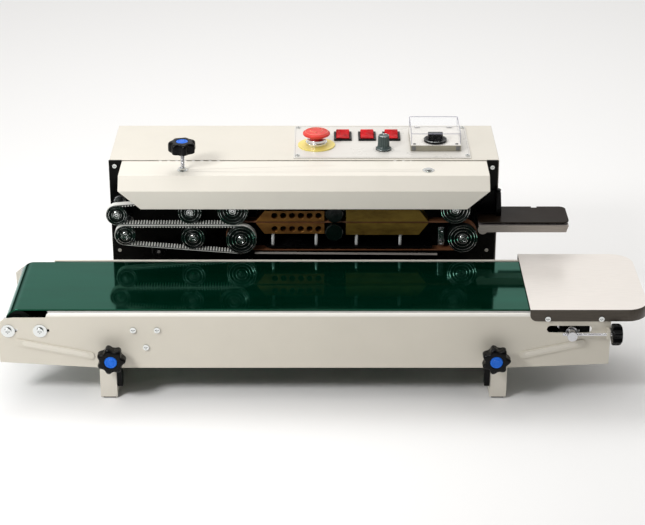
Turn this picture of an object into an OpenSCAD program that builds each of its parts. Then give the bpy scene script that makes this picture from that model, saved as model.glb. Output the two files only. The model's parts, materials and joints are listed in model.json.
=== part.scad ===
// Continuous band sealer for bags: a sealing head on two arms, with a short
// belt conveyor in front of it. Machine coordinates: X from the head's middle,
// Y from the conveyor's front face towards the back, Z from the table.
// place() moves them to the part's own origin, the middle of its footprint.

/* [Overall] */
// Left end of the conveyor, from the head's middle
conveyor_left = 394; // [380:1:410]
// Right end of the worktable, from the head's middle
table_right = 446; // [436:1:466]
// Back of the housing, from the conveyor's front face
housing_back = 366; // [340:1:400]
// How far the clamp knobs stand out in front
knob_reach = 28; // [26:1:36]

/* [Conveyor] */
// Height of the belt's upper face
belt_top = 128; // [124:1:134]
// Belt thickness
belt_t = 2; // [1.5:0.1:2.5]
// Front edge of the belt
belt_front = 6; // [6:1:12]
// Belt width
belt_w = 150; // [120:1:150]
// Radius of the two belt rollers
roller_r = 15.7; // [14:0.1:16.5]
// Drive roller's axis, left of the middle
drive_roller_x = 367; // [360:1:372]
// Tension roller's axis, right of the middle
tension_roller_x = 343; // [330:1:350]
// Bottom edge of the side panels
panel_bottom = 46.7; // [42:0.1:52]
// Top of the front panel's flange
panel_top = 124; // [123:0.5:125]
// Outer face of the rear panel
rear_face = 161.5; // [161:0.5:168]
// Thickness of the sheet-metal parts
sheet = 1.5; // [1.2:0.1:2]

/* [Head] */
// Half the housing's length
head_half = 267.4; // [262:0.2:275]
// Underside of the housing
head_bottom = 27; // [24:1:34]
// Top of the housing
head_top = 248.5; // [244:0.5:252]
// Front face of the main plate
plate_front = 226; // [222:1:230]
// Main plate thickness
plate_t = 3; // [2.5:0.5:4]
// Half the guard's length
guard_half = 250; // [240:1:256]
// Front face of the guard
guard_front = 160; // [156:1:162]
// Lower edge of the guard
guard_bottom = 203.5; // [202:0.5:208]

/* [Sealing] */
// Height of the sealing line, where the bag's mouth travels
seal_z = 174.6; // [172:0.1:177]
// Gap between the upper and lower belts
seal_gap = 0.4; // [0.3:0.1:1]
// Outer radius of the belts on the large wheels
wheel_r = 21; // [19:0.1:21]
// Outer radius of the toothed belts on the guide pulleys
pulley_r = 14.7; // [13:0.1:15]
// Lower drive wheel's axis
drive_x = -86; // [-92:1:-84]
// Lower idler wheel's axis
idler_x = 216.4; // [208:0.1:220]
// Lower guide pulley's axis
pulley_x = -243.6; // [-246:0.1:-236]
// How far the upper wheels sit to the left of the lower ones
upper_shift = 11; // [9:0.5:12]

/* [Controls] */
// Left edge of the control plate
panel_x0 = -15; // [-25:1:-12]
// Right edge of the control plate
panel_x1 = 229; // [224:1:240]
// Spacing of the rocker switches
rocker_pitch = 34.2; // [32:0.1:36]
// Centre of the first rocker switch
rocker_x = 53.6; // [52:0.1:56]

/* [Hidden] */

mid_x = (table_right - conveyor_left) / 2;
inlet_proud = 2.4;
mid_y = (housing_back + inlet_proud - knob_reach) / 2;
eps = 0.01;
fit = 0.08;
gap = 0.3;

cream = [0.90, 0.88, 0.82];
black = [0.06, 0.06, 0.07];
steel = [0.72, 0.72, 0.73];
brass = [0.62, 0.46, 0.18];
dark_rubber = [0.08, 0.14, 0.12];
white_belt = [0.88, 0.88, 0.85];
seal_brown = [0.48, 0.30, 0.16];

// Conveyor
roller_z = belt_top - belt_t - gap - roller_r;
belt_r = roller_r + gap + belt_t;
axle_r = 4;
clamp_x = 248;
clamp_z = 68;
clamp_bolt_r = 4;
arm_in = 244;
arm_w = 22;
pad_h = 2.5;
arm_floor_h = 24;
panel_right = 397;
// Joint between parts that are spot-welded face to face
seam = 0.02;
tension_z = 99.5;
tension_y = -8;
rod_r = 2.3;
block_x = 346.4;
slot_x0 = 314.7;
slot_x1 = 372.7;
slot_z = 102.5;
slot_r = 5;
table_top = 131;
table_left = 292.2;
table_front = -1.6;
table_back = 175.6;
skirt_z = 114.5;

// Sealing mechanism: the toothed belts run in front of the sealing belts
tooth_y0 = 173;
tooth_y1 = 183;
band_y0 = 185;
band_y1 = 200;
tooth_belt_t = 1.8;
band_t = 0.8;
shaft_r = 4;
upper_z = seal_z + seal_gap;
drive_z = seal_z - wheel_r;
upper_drive_z = upper_z + wheel_r;
pulley_z = seal_z - pulley_r;
upper_pulley_z = upper_z + pulley_r;
upper_drive_x = drive_x - upper_shift;
upper_idler_x = idler_x - upper_shift;
upper_pulley_x = pulley_x - upper_shift + 0.4;
press_x = -151.4;
press_z = 156.2;
upper_press_x = -155;
upper_press_z = 193.6;
press_r = 14.7;
press_rim_r = 17.3;
pinch_x = 41;
pinch_r = 12.2;
pinch_z = seal_z - band_t - gap - pinch_r;
upper_pinch_z = upper_z + band_t + gap + pinch_r;
plate_back = plate_front + plate_t;
block_y0 = 183;
block_y1 = 207;
block_skin = band_t + 0.2;
stud_xs = [-42.9, 16.5, 71.8, 131.6];
stud_y = 190;
rail_z = 139.5;
rail_t = 2.5;
gear_y0 = 236;
gear_w = 9;
gear_teeth = 22;
line_dx = upper_drive_x - drive_x;
line_dz = upper_drive_z - drive_z;
line_d = sqrt(line_dx * line_dx + line_dz * line_dz);
line_a = atan2(line_dz, line_dx);
gear_pitch_r = line_d / 2;
hole_pitch = 12;

// Controls
panel_z = head_top + sheet;
estop_x = 16.6;
estop_y = 281.5;
rocker_y = 315;
speed_x = 109.7;
speed_y = 266;
ctrl_x0 = 147;
ctrl_x1 = 216.6;
ctrl_y0 = 258;
ctrl_y1 = 330;
ctrl_h = 8.5;
ctrl_neck = 5;
lid_top = 276;
lid_t = 1.5;
dial_x = 181.8;
dial_y = 276.3;
pressure_x = -164.6;
adjuster_x = 168.4;
pressure_y = 193;
guard_top = head_top - 1.6;
fan_x = -14;
fan_z = 165;
fan_size = 80;

// Moves machine coordinates to the part's origin
module place() {
    translate([-mid_x, -mid_y, 0])
    children();
}

// Box between two corners
module block(a, b) {
    translate(a)
    cube(b - a);
}

// Cylinder along Y
module ycyl(x, z, y0, y1, r, sides = 64) {
    translate([x, y0, z])
    rotate([-90, 0, 0])
    cylinder(h = y1 - y0, r = r, $fn = sides);
}

// Cylinder along Z
module zcyl(x, y, z0, z1, r, sides = 64) {
    translate([x, y, z0])
    cylinder(h = z1 - z0, r = r, $fn = sides);
}

// Cylinder along X
module xcyl(y, z, x0, x1, r, sides = 48) {
    translate([x0, y, z])
    rotate([0, 90, 0])
    cylinder(h = x1 - x0, r = r, $fn = sides);
}

// Turned part along Y, from [radius, distance] points
module yturned(x, y, z, points) {
    translate([x, y, z])
    rotate([-90, 0, 0])
    rotate_extrude($fn = 96)
    polygon(points);
}

// Flat part in the XZ plane, between two Y values
module xz_plate(y0, y1) {
    translate([0, y1, 0])
    rotate([90, 0, 0])
    linear_extrude(y1 - y0)
    children();
}

// Flat part in the YZ plane, between two X values
module yz_plate(x0, x1) {
    translate([x0, 0, 0])
    rotate([90, 0, 90])
    linear_extrude(x1 - x0)
    children();
}

// Points along an arc, n steps from angle a0 to a1
function arc(c, r, a0, a1, n) =
    [for (i = [0 : n]) c + r * [cos(a0 + (a1 - a0) * i / n), sin(a0 + (a1 - a0) * i / n)]];

// Outline round two circles and their outer tangents
module loop_2d(c1, r1, c2, r2, n = 60) {
    d = norm(c2 - c1);
    a = atan2(c2[1] - c1[1], c2[0] - c1[0]);
    b = acos((r1 - r2) / d);
    polygon(concat(arc(c1, r1, a + b, a - b + 360, n), arc(c2, r2, a - b, a + b, n)));
}

// Endless belt of thickness t; r1 and r2 are its outer radii
module belt_loop(c1, r1, c2, r2, t, y0, y1) {
    difference() {
        xz_plate(y0, y1)
        loop_2d(c1, r1, c2, r2);
        xz_plate(y0 - 1, y1 + 1)
        loop_2d(c1, r1 - t, c2, r2 - t);
    }
}

// Row of belt teeth along a strand's inner face, from p to q
module tooth_row(p, q, y0, y1, side) {
    pitch = 4;
    tooth_h = 1.5;
    run = norm(q - p);
    count = floor(run / pitch);
    rise = [-0.3, tooth_h, tooth_h, -0.3];
    along = [0.18, 0.32, 0.68, 0.82];
    xz_plate(y0, y1)
    translate(p)
    rotate(atan2(q[1] - p[1], q[0] - p[0]))
    polygon(concat(
        [[0, -side * 0.5]],
        [for (i = [0 : count - 1], k = [0 : 3]) [(i + along[k]) * pitch, side * rise[k]]],
        [[count * pitch, -side * 0.5]]));
}

// Spur gear outline with straight-sided teeth
module gear_2d(teeth, pitch_r) {
    step = 360 / teeth;
    tooth = pitch_r * PI / teeth;
    function at(r, a) = [r * cos(a), r * sin(a)];
    polygon([for (i = [0 : teeth - 1])
        each [at(pitch_r - tooth * 0.72, (i - 0.30) * step),
              at(pitch_r, (i - 0.225) * step),
              at(pitch_r + tooth * 0.55, (i - 0.11) * step),
              at(pitch_r + tooth * 0.55, (i + 0.11) * step),
              at(pitch_r, (i + 0.225) * step),
              at(pitch_r - tooth * 0.72, (i + 0.30) * step)]]);
}

// Seven-lobed clamp knob along Z, its face at height h
module star_knob(r, h, cap_r) {
    core_r = r * 0.74;
    lobe_r = r * 0.24;
    difference() {
        union() {
            cylinder(h = h, r = core_r, $fn = 64);
            for (i = [0 : 6])
                rotate(i * 360 / 7)
                translate([r - lobe_r, 0, 0])
                cylinder(h = h - 2, r = lobe_r, $fn = 32);
        }
        translate([0, 0, h - 2])
        cylinder(h = 3, r = cap_r + 0.4, $fn = 48);
    }
    translate([0, 0, h - 2 - eps])
    cylinder(h = 2, r = cap_r, $fn = 48);
}

// Cross-head screw head along Z
module screw_head(r, h) {
    difference() {
        cylinder(h = h, r = r, $fn = 32);
        for (a = [0, 90])
            rotate(a)
            translate([-r * 0.6, -r * 0.12, h * 0.5])
            cube([r * 1.2, r * 0.24, h]);
    }
}

// Screw head facing the front, seated on the face y
module front_screw(x, z, y, r, h) {
    translate([x, y, z])
    rotate([90, 0, 0])
    screw_head(r, h);
}

// Screw head facing up, seated on the face z
module top_screw(x, y, z, r, h) {
    translate([x, y, z])
    screw_head(r, h);
}

// ---- Head ----

module housing_shell() {
    color(cream) place()
    difference() {
        block([-head_half, plate_back, head_bottom], [head_half, housing_back - sheet, head_top]);
        block([-head_half + sheet, plate_back - 1, head_bottom - 1],
              [head_half - sheet, housing_back, head_top - sheet]);
        zcyl(estop_x, estop_y, head_top - 5, head_top + 1, 11.5);
        zcyl(speed_x, speed_y, head_top - 5, head_top + 1, 5);
        for (i = [0 : 2])
            block([rocker_x + i * rocker_pitch - 11.5, rocker_y - 15, head_top - 5],
                  [rocker_x + i * rocker_pitch + 11.5, rocker_y + 15, head_top + 1]);
        block([ctrl_x0 + 4, ctrl_y0 + 4, head_top - 5], [ctrl_x1 - 4, ctrl_y1 - 4, head_top + 1]);
        // Louvres in both ends
        for (s = [-1, 1], i = [0 : 5])
            block([s * head_half - 3, plate_back + 30 + i * 14, head_bottom + 40],
                  [s * head_half + 3, plate_back + 35 + i * 14, head_bottom + 90]);
    }
}

module rear_cover() {
    color(cream) place()
    difference() {
        union() {
            block([-head_half, housing_back - sheet, head_bottom], [head_half, housing_back, head_top]);
            block([-head_half + sheet + gap, plate_back, head_bottom],
                  [head_half - sheet - gap, housing_back - sheet, head_bottom + sheet]);
        }
        // Slots in front of the fan
        for (i = [-3 : 3])
            block([fan_x - 30, housing_back - 5, fan_z + i * 9 - 2],
                  [fan_x + 30, housing_back + 1, fan_z + i * 9 + 2]);
        // Vent rows, left and right
        for (s = [-1, 1], i = [0 : 7])
            block([s * 170 - 42 + i * 12, housing_back - 5, 180],
                  [s * 170 - 38 + i * 12, housing_back + 1, 220]);
        // Opening for the power inlet
        block([-214, housing_back - 5, 58], [-186, housing_back + 1, 78]);
    }
}

// Shaft positions on the main plate
shafts = [[drive_x, drive_z], [upper_drive_x, upper_drive_z], [idler_x, drive_z],
          [upper_idler_x, upper_drive_z], [pulley_x, pulley_z],
          [upper_pulley_x, upper_pulley_z], [press_x, press_z],
          [upper_press_x, upper_press_z], [pinch_x, pinch_z], [pinch_x, upper_pinch_z]];

module main_plate() {
    rail_y0 = block_y0;
    color(black) place()
    difference() {
        union() {
            difference() {
                block([-head_half - 0.6, plate_front, head_bottom], [head_half - 2, plate_back, head_top]);
                // The guard's top runs over this edge
                block([-guard_half - gap, plate_front - 1, guard_top - sheet],
                      [guard_half + gap, plate_back + 1, head_top + 1]);
            }
            // Ledges inside the belt loops, which carry the block studs
            block([-52, rail_y0, rail_z - rail_t], [176, plate_front, rail_z]);
            block([-52, rail_y0, 2 * seal_z + seal_gap - rail_z], [24, plate_front, 2 * seal_z + seal_gap - rail_z + rail_t]);
            block([60, rail_y0, 2 * seal_z + seal_gap - rail_z], [150, plate_front, 2 * seal_z + seal_gap - rail_z + rail_t]);
        }
        for (p = shafts)
            ycyl(p[0], p[1], plate_front - 1, plate_back + 1, 7);
        // Air way from the fan to the cooling blocks
        ycyl(fan_x, fan_z, plate_front - 1, plate_back + 1, 22);
    }
}

module guard_cover() {
    slant_y = 174;
    slant_z = 229.5;
    t = sheet;
    color(cream) place()
    difference() {
        yz_plate(-guard_half, guard_half)
        polygon([[plate_back - eps, guard_top], [slant_y, guard_top], [guard_front, slant_z],
                 [guard_front, guard_bottom], [guard_front + t, guard_bottom],
                 [guard_front + t, slant_z - 0.4], [slant_y + 0.7, guard_top - t],
                 [plate_front - t, guard_top - t], [plate_front - t, guard_top - 14],
                 [plate_front - eps, guard_top - 14], [plate_front - eps, guard_top - t],
                 [plate_back - eps, guard_top - t]]);
        // Chamfered lower corners
        for (s = [-1, 1])
            xz_plate(guard_front - 1, guard_front + 5)
            polygon([[s * (guard_half - 30), guard_bottom - 1], [s * (guard_half + 1), guard_bottom - 1],
                     [s * (guard_half + 1), guard_bottom + 26], [s * guard_half, guard_bottom + 26],
                     [s * (guard_half - 30), guard_bottom]]);
        zcyl(pressure_x, pressure_y, guard_top - 3, guard_top + 1, 2.8 + fit);
        zcyl(adjuster_x, pressure_y, guard_top - 3, guard_top + 1, 2.8);
    }
}

module housing_screws() {
    color(steel) place() {
        // Corners of the main plate
        front_screw(-260, 241, plate_front, 3, 2);
        front_screw(258, 239, plate_front, 3, 2);
        front_screw(254, 115.6, plate_front, 2.6, 2);
        front_screw(-258, 115.6, plate_front, 2.6, 2);
        // Corners of the control plate
        for (x = [-9.5, 224.5], y = [240.5, 352])
            top_screw(x, y, panel_z, 3, 1.6);
        // Lock nut under the pressure knob
        difference() {
            union() {
                zcyl(pressure_x, pressure_y, guard_top, guard_top + 1, 7);
                zcyl(pressure_x, pressure_y, guard_top + 1, guard_top + 4.5, 5, 6);
            }
            zcyl(pressure_x, pressure_y, guard_top - 1, guard_top + 6, 2.8 + fit);
        }
        // Adjuster bolt on the right, with its washer
        zcyl(adjuster_x, pressure_y, guard_top, guard_top + 0.8, 8);
        zcyl(adjuster_x, pressure_y, guard_top + 0.8, guard_top + 2.6, 4.6);
        zcyl(adjuster_x, pressure_y, guard_top - 12, guard_top + eps, 2.75);
        // Rear cover
        for (x = [-250, 0, 250], z = [40, 236])
            translate([x, housing_back, z])
            rotate([-90, 0, 0])
            screw_head(3, 1.4);
    }
}

module control_plate() {
    color([0.87, 0.86, 0.83]) place()
    difference() {
        block([panel_x0, 233, head_top], [panel_x1, 359, panel_z]);
        zcyl(estop_x, estop_y, head_top - 1, panel_z + 1, 11.5);
        zcyl(speed_x, speed_y, head_top - 1, panel_z + 1, 3 + fit);
        for (i = [0 : 2])
            block([rocker_x + i * rocker_pitch - 11.5, rocker_y - 15, head_top - 1],
                  [rocker_x + i * rocker_pitch + 11.5, rocker_y + 15, panel_z + 1]);
        block([ctrl_x0 + 4, ctrl_y0 + 4, head_top - 1], [ctrl_x1 - 4, ctrl_y1 - 4, panel_z + 1]);
    }
}

// Right arm; the left one is its mirror image
module support_arm() {
    x0 = arm_in;
    x1 = arm_in + arm_w;
    t = 2;
    upright_h = 98;
    slot_up = 21;
    web = 46;
    color(cream) place()
    union() {
        // Upright with the height slot
        difference() {
            block([x0, 3, pad_h], [x1, 3 + t, upright_h]);
            ycyl(clamp_x, clamp_z - 17, 1, 8, 4.5, 32);
            ycyl(clamp_x, clamp_z + slot_up, 1, 8, 4.5, 32);
            block([clamp_x - 4.5, 1, clamp_z - 17], [clamp_x + 4.5, 8, clamp_z + slot_up]);
        }
        // Webs that fall away from the upright to the floor channel
        yz_plate(x0, x0 + t)
        polygon([[3 + t, pad_h], [web, pad_h], [web, arm_floor_h], [12, 46], [3 + t, 46]]);
        yz_plate(x1 - t, x1)
        polygon([[3 + t, pad_h], [web, pad_h], [web, arm_floor_h], [12, 46], [3 + t, 46]]);
        // Floor channel, open below
        difference() {
            block([x0, web, pad_h], [x1, housing_back - 8, head_bottom]);
            block([x0 + t, web - 1, pad_h - 1], [x1 - t, housing_back - 8 - t, head_bottom - t]);
        }
    }
}

module support_arm_right() {
    support_arm();
}

module support_arm_left() {
    translate([-2 * mid_x, 0, 0])
    mirror([1, 0, 0])
    support_arm();
}

module foot_pads() {
    color(black) place()
    for (s = [-1, 1]) {
        xm = s * (arm_in + arm_w / 2);
        block([xm - 8, 5.4, 0], [xm + 8, 21.4, pad_h + 3]);
        block([xm - 8, housing_back - 34, 0], [xm + 8, housing_back - 14, pad_h + 3]);
    }
}

// ---- Sealing mechanism ----

module heater_outline() {
    polygon([[57.1, 156.5], [156.5, 156.5], [169.6, seal_z - block_skin], [57.1, seal_z - block_skin]]);
}

module cooler_outline() {
    polygon([[-54.4, 158], [27.6, 158], [27.6, seal_z - block_skin], [-65.9, seal_z - block_skin]]);
}

// Mirror image across the sealing line
module upside() {
    translate([0, 0, 2 * seal_z + seal_gap])
    mirror([0, 0, 1])
    children();
}

module heater_body() {
    difference() {
        xz_plate(block_y0, block_y1)
        heater_outline();
        // Cartridge bore, from the back
        xcyl(block_y1 - 8, 165, 62, 175, 3.1);
    }
}

module cooler_body() {
    difference() {
        xz_plate(block_y0, block_y1)
        cooler_outline();
        for (i = [0 : 5])
            ycyl(-40.5 + i * hole_pitch, 165, block_y0 - 1, block_y1 + 1, 4.2, 32);
    }
}

module lower_heater_block() {
    color(brass) place()
    heater_body();
}

module upper_heater_block() {
    color(brass) place()
    upside()
    heater_body();
}

module lower_cooling_block() {
    color(brass) place()
    cooler_body();
}

module upper_cooling_block() {
    color(brass) place()
    upside()
    cooler_body();
}

module studs() {
    for (i = [0 : 3])
        zcyl(stud_xs[i], stud_y, rail_z, i < 2 ? 158 : 156.5, 2.3, 32);
}

module block_studs() {
    color(steel) place() {
        studs();
        upside()
        studs();
    }
}

module lower_sealing_belt() {
    color(seal_brown) place()
    belt_loop([drive_x, drive_z], wheel_r, [idler_x, drive_z], wheel_r, band_t, band_y0, band_y1);
}

module upper_sealing_belt() {
    color(seal_brown) place()
    belt_loop([upper_drive_x, upper_drive_z], wheel_r, [upper_idler_x, upper_drive_z], wheel_r,
              band_t, band_y0, band_y1);
}

// Toothed belt between a guide pulley and a drive wheel; up is 1 for the lower set
module toothed_belt(px, pz, dx, dz, up) {
    c1 = [px, pz];
    c2 = [dx, dz];
    d = norm(c2 - c1);
    a = atan2(c2[1] - c1[1], c2[0] - c1[0]);
    b = acos((pulley_r - wheel_r) / d);
    far = [cos(a - up * b), sin(a - up * b)];
    p = c1 + (pulley_r - tooth_belt_t) * far;
    q = c2 + (wheel_r - tooth_belt_t) * far;
    e = (q - p) / norm(q - p);
    near_z = up > 0 ? seal_z - tooth_belt_t : upper_z + tooth_belt_t;
    union() {
        belt_loop(c1, pulley_r, c2, wheel_r, tooth_belt_t, tooth_y0, tooth_y1);
        tooth_row([px + 9, near_z], [dx - 9, near_z], tooth_y0, tooth_y1, -up);
        tooth_row(p + 9 * e, q - 9 * e, tooth_y0, tooth_y1, up);
    }
}

module lower_toothed_belt() {
    color(white_belt) place()
    toothed_belt(pulley_x, pulley_z, drive_x, drive_z, 1);
}

module upper_toothed_belt() {
    color(white_belt) place()
    toothed_belt(upper_pulley_x, upper_pulley_z, upper_drive_x, upper_drive_z, -1);
}

module shaft_bearings() {
    color(steel) place()
    for (p = shafts)
        yturned(p[0], plate_front - 5, p[1],
                [[shaft_r + fit, 0], [8, 0], [8.6, 1.2], [8.6, 5], [7, 5], [7, 8], [shaft_r + fit, 8]]);
}

// Large wheel: toothed track r1 in front, band track r2 behind, shaft through the plate
module wheel(x, z, r1, r2, y0, y1, y2, y3, shaft_end = 244.2) {
    hub = 6;
    ring = r1 * 0.72;
    yturned(x, y0, z,
            [[0, -1.4], [3.2, -1.4], [3.6, 0], [hub, 0], [hub, 3], [ring - 2.4, 3], [ring - 1.8, 0.8],
             [ring, 0.8], [ring + 0.4, 2.6], [r1 - 1.8, 2.6], [r1 - 1.2, 0], [r1 - 0.5, 0],
             [r1, 0.5], [r1, y1 - y0], [r2, y2 - y0], [r2, y3 - y0], [7, y3 - y0],
             [7, y3 - y0 + 4], [shaft_r, y3 - y0 + 4], [shaft_r, shaft_end - y0],
             [0, shaft_end - y0]]);
}

module drive_gear(x, z, turn) {
    translate([x, 0, z])
    xz_plate(gear_y0, gear_y0 + gear_w)
    rotate(turn)
    gear_2d(gear_teeth, gear_pitch_r - 0.05);
}

module lower_drive_wheel() {
    color(dark_rubber) place()
    union() {
        // Its shaft runs on into the gearmotor
        wheel(drive_x, drive_z, wheel_r - tooth_belt_t - gap, wheel_r - band_t - gap,
              172.2, 184, 184.5, 200.5, 270);
        drive_gear(drive_x, drive_z, line_a);
    }
}

module upper_drive_wheel() {
    color(dark_rubber) place()
    union() {
        wheel(upper_drive_x, upper_drive_z, wheel_r - tooth_belt_t - gap, wheel_r - band_t - gap,
              172.2, 184, 184.5, 200.5);
        drive_gear(upper_drive_x, upper_drive_z, line_a + 180 + 180 / gear_teeth);
    }
}

module lower_idler_wheel() {
    color(dark_rubber) place()
    wheel(idler_x, drive_z, wheel_r - band_t - gap - 1.5, wheel_r - band_t - gap, 176, 182, 184, 200.5);
}

module upper_idler_wheel() {
    color(dark_rubber) place()
    wheel(upper_idler_x, upper_drive_z, wheel_r - band_t - gap - 1.5, wheel_r - band_t - gap,
          176, 182, 184, 200.5);
}

module lower_guide_pulley() {
    color(dark_rubber) place()
    wheel(pulley_x, pulley_z, pulley_r - tooth_belt_t - gap, pulley_r - tooth_belt_t - gap,
          172.2, 180, 181, 184.5);
}

module upper_guide_pulley() {
    color(dark_rubber) place()
    wheel(upper_pulley_x, upper_pulley_z, pulley_r - tooth_belt_t - gap,
          pulley_r - tooth_belt_t - gap, 172.2, 180, 181, 184.5);
}

module lower_press_wheel() {
    color(dark_rubber) place()
    wheel(press_x, press_z, press_r, press_rim_r, 172.2, 184, 184.6, 200);
}

module upper_press_wheel() {
    color(dark_rubber) place()
    wheel(upper_press_x, upper_press_z, press_r, press_rim_r, 172.2, 184, 184.6, 200);
}

module pinch_roller(z) {
    difference() {
        yturned(pinch_x, 177, z,
                [[0, 0], [4, 0], [4.5, 1], [pinch_r - 1, 1], [pinch_r, 2], [pinch_r, 26],
                 [shaft_r, 26], [shaft_r, 62], [0, 62]]);
        // Knurling grooves
        for (i = [0 : 17])
            translate([pinch_x, 0, z])
            rotate([0, i * 20, 0])
            translate([pinch_r + 0.35, 178, 0])
            rotate([-90, 0, 0])
            cylinder(h = 26, r = 0.8, $fn = 16);
    }
}

module lower_pinch_roller() {
    color(dark_rubber) place()
    pinch_roller(pinch_z);
}

module upper_pinch_roller() {
    color(dark_rubber) place()
    pinch_roller(upper_pinch_z);
}

module lower_infeed_guide() {
    x0 = 237;
    x1 = 360.5;
    z0 = 162.3;
    z1 = seal_z - 2.1;
    t = 1.6;
    color(steel) place()
    difference() {
        union() {
            block([x0, 178, z1 - t], [x1, 214, z1]);
            block([x0 + 3, 213, z1 - t], [262, plate_front, z1]);
            xz_plate(178, 178 + t)
            union() {
                translate([x0 + 6.6, z1 - 6.6])
                circle(6.6, $fn = 48);
                polygon([[x0 + 6.6, z0], [x1 - 3, z0], [x1, z1], [x0 + 6.6, z1]]);
            }
        }
        block([x0 - 1, 177, z1 - t - eps], [x0 + 1, 220, z1 + 1]);
    }
}

module upper_infeed_guide() {
    z0 = upper_z + 0.8;
    t = 1.6;
    corner = 9;
    color(steel) place()
    union() {
        block([238, 178, z0], [361 - corner, plate_front, z0 + t]);
        block([361 - corner - eps, 178 + corner, z0], [361, 234 - corner, z0 + t]);
        block([272, plate_front - eps, z0], [314, 234, z0 + t]);
        block([313, plate_front - eps, z0], [323, 230, z0 + t]);
        block([322, plate_front - eps, z0], [361 - corner, 234, z0 + t]);
        zcyl(361 - corner, 178 + corner, z0, z0 + t, corner);
        zcyl(361 - corner, 234 - corner, z0, z0 + t, corner);
    }
}

module guide_bracket() {
    z0 = upper_z + 2.4;
    color(black) place()
    union() {
        block([236, 205, z0], [270, plate_front, z0 + 3]);
        yz_plate(263, 270)
        polygon([[200, z0], [plate_front, z0], [plate_front, 206], [214, 206], [200, z0 + 10]]);
        xz_plate(plate_front - 4, plate_front)
        polygon([[236, z0], [270, z0], [270, 206], [258, 206]]);
        translate([266.5, 220, 206])
        cylinder(h = 3, r = 4, $fn = 6);
    }
}

// ---- Drive, fan and power ----

module gearmotor() {
    color([0.35, 0.36, 0.38]) place()
    difference() {
        union() {
            block([drive_x - 32, 250, drive_z - 32], [drive_x + 32, 290, drive_z + 22]);
            ycyl(drive_x, drive_z - 5, 290, 352, 24);
            // Feet down to the base
            block([drive_x - 30, 252, head_bottom + sheet], [drive_x - 22, 288, drive_z - 31]);
            block([drive_x + 22, 252, head_bottom + sheet], [drive_x + 30, 288, drive_z - 31]);
        }
        ycyl(drive_x, drive_z, 249, 275, shaft_r + fit);
    }
}

module power_inlet() {
    color(black) place()
    difference() {
        union() {
            block([-213.7, housing_back - 22, 58.3], [-186.3, housing_back, 77.7]);
            block([-218, housing_back, 54], [-182, housing_back + inlet_proud, 82]);
        }
        block([-211, housing_back - 16, 61], [-189, housing_back + 4, 75]);
    }
    color(steel) place()
    for (x = [-206, -200, -194])
        block([x - 1, housing_back - 18, 66], [x + 1, housing_back - 3, 70]);
}

module fan_frame() {
    y1 = housing_back - sheet;
    y0 = y1 - 25;
    h = fan_size / 2;
    color(black) place()
    union() {
        difference() {
            block([fan_x - h, y0, fan_z - h], [fan_x + h, y1, fan_z + h]);
            ycyl(fan_x, fan_z, y0 - 1, y1 + 1, h - 2);
        }
        // Hub plate on the cover side, with four spokes and the bearing pin
        ycyl(fan_x, fan_z, y1 - 3, y1, 14);
        ycyl(fan_x, fan_z, y0 + 6, y1, 1.5, 32);
        for (a = [45, 135])
            translate([fan_x, 0, fan_z])
            rotate([0, a, 0])
            block([-h + 1, y1 - 3, -2], [h - 1, y1, 2]);
    }
}

module fan_rotor() {
    y0 = housing_back - sheet - 22;
    color([0.12, 0.12, 0.13]) place()
    difference() {
        union() {
            ycyl(fan_x, fan_z, y0, y0 + 17, 14);
            for (i = [0 : 6])
                translate([fan_x, y0 + 8.5, fan_z])
                rotate([0, i * 360 / 7, 0])
                rotate([35, 0, 0])
                translate([12, -1, -9])
                cube([23, 2, 18]);
        }
        ycyl(fan_x, fan_z, y0 - 1, y0 + 18, 1.5 + fit);
    }
}

// ---- Controls ----

module estop_base() {
    color([0.93, 0.83, 0.15]) place()
    difference() {
        union() {
            zcyl(estop_x, estop_y, panel_z, panel_z + 1.6, 25.8);
            zcyl(estop_x, estop_y, panel_z + 1.6 - eps, panel_z + 6, 15);
            zcyl(estop_x, estop_y, panel_z + 6 - eps, panel_z + 10, 13);
            zcyl(estop_x, estop_y, panel_z - 28, panel_z + eps, 11);
        }
        zcyl(estop_x, estop_y, panel_z - 24, panel_z + 11, 9 + fit);
    }
}

module estop_button() {
    color([0.80, 0.10, 0.08]) place()
    translate([estop_x, estop_y, 0])
    rotate_extrude($fn = 96)
    polygon([[0, panel_z - 18], [9, panel_z - 18], [9, panel_z + 14.2], [15, panel_z + 14.8],
             [18.4, panel_z + 16.2], [19, panel_z + 17.4], [18.6, panel_z + 19], [16.5, panel_z + 20.6],
             [12, panel_z + 21.8], [6, panel_z + 22.4], [0, panel_z + 22.6]]);
}

module rocker_bezels() {
    color(black) place()
    for (i = [0 : 2]) {
        x = rocker_x + i * rocker_pitch;
        difference() {
            union() {
                block([x - 12.5, rocker_y - 16, panel_z], [x + 12.5, rocker_y + 16, panel_z + 2.6]);
                block([x - 11, rocker_y - 14.6, panel_z - 22], [x + 11, rocker_y + 14.6, panel_z + eps]);
            }
            block([x - 9.7, rocker_y - 13.5, panel_z - 9], [x + 9.7, rocker_y + 13.5, panel_z + 4]);
        }
    }
}

// Rocker with its back edge raised
module rocker(i) {
    x = rocker_x + i * rocker_pitch;
    color([0.85, 0.08, 0.06]) place()
    translate([0, rocker_y, panel_z])
    rotate([9, 0, 0])
    yz_plate(x - 9.3, x + 9.3)
    polygon([[-12.3, 6.5], [-8, 4.6], [0, 3.4], [8, 4.6], [12.3, 6.5], [12.3, -1], [7, -5.4],
             [-7, -5.4], [-12.3, -1]]);
}

module rocker_drive() {
    rocker(0);
}

module rocker_fan() {
    rocker(1);
}

module rocker_heat() {
    rocker(2);
}

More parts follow.
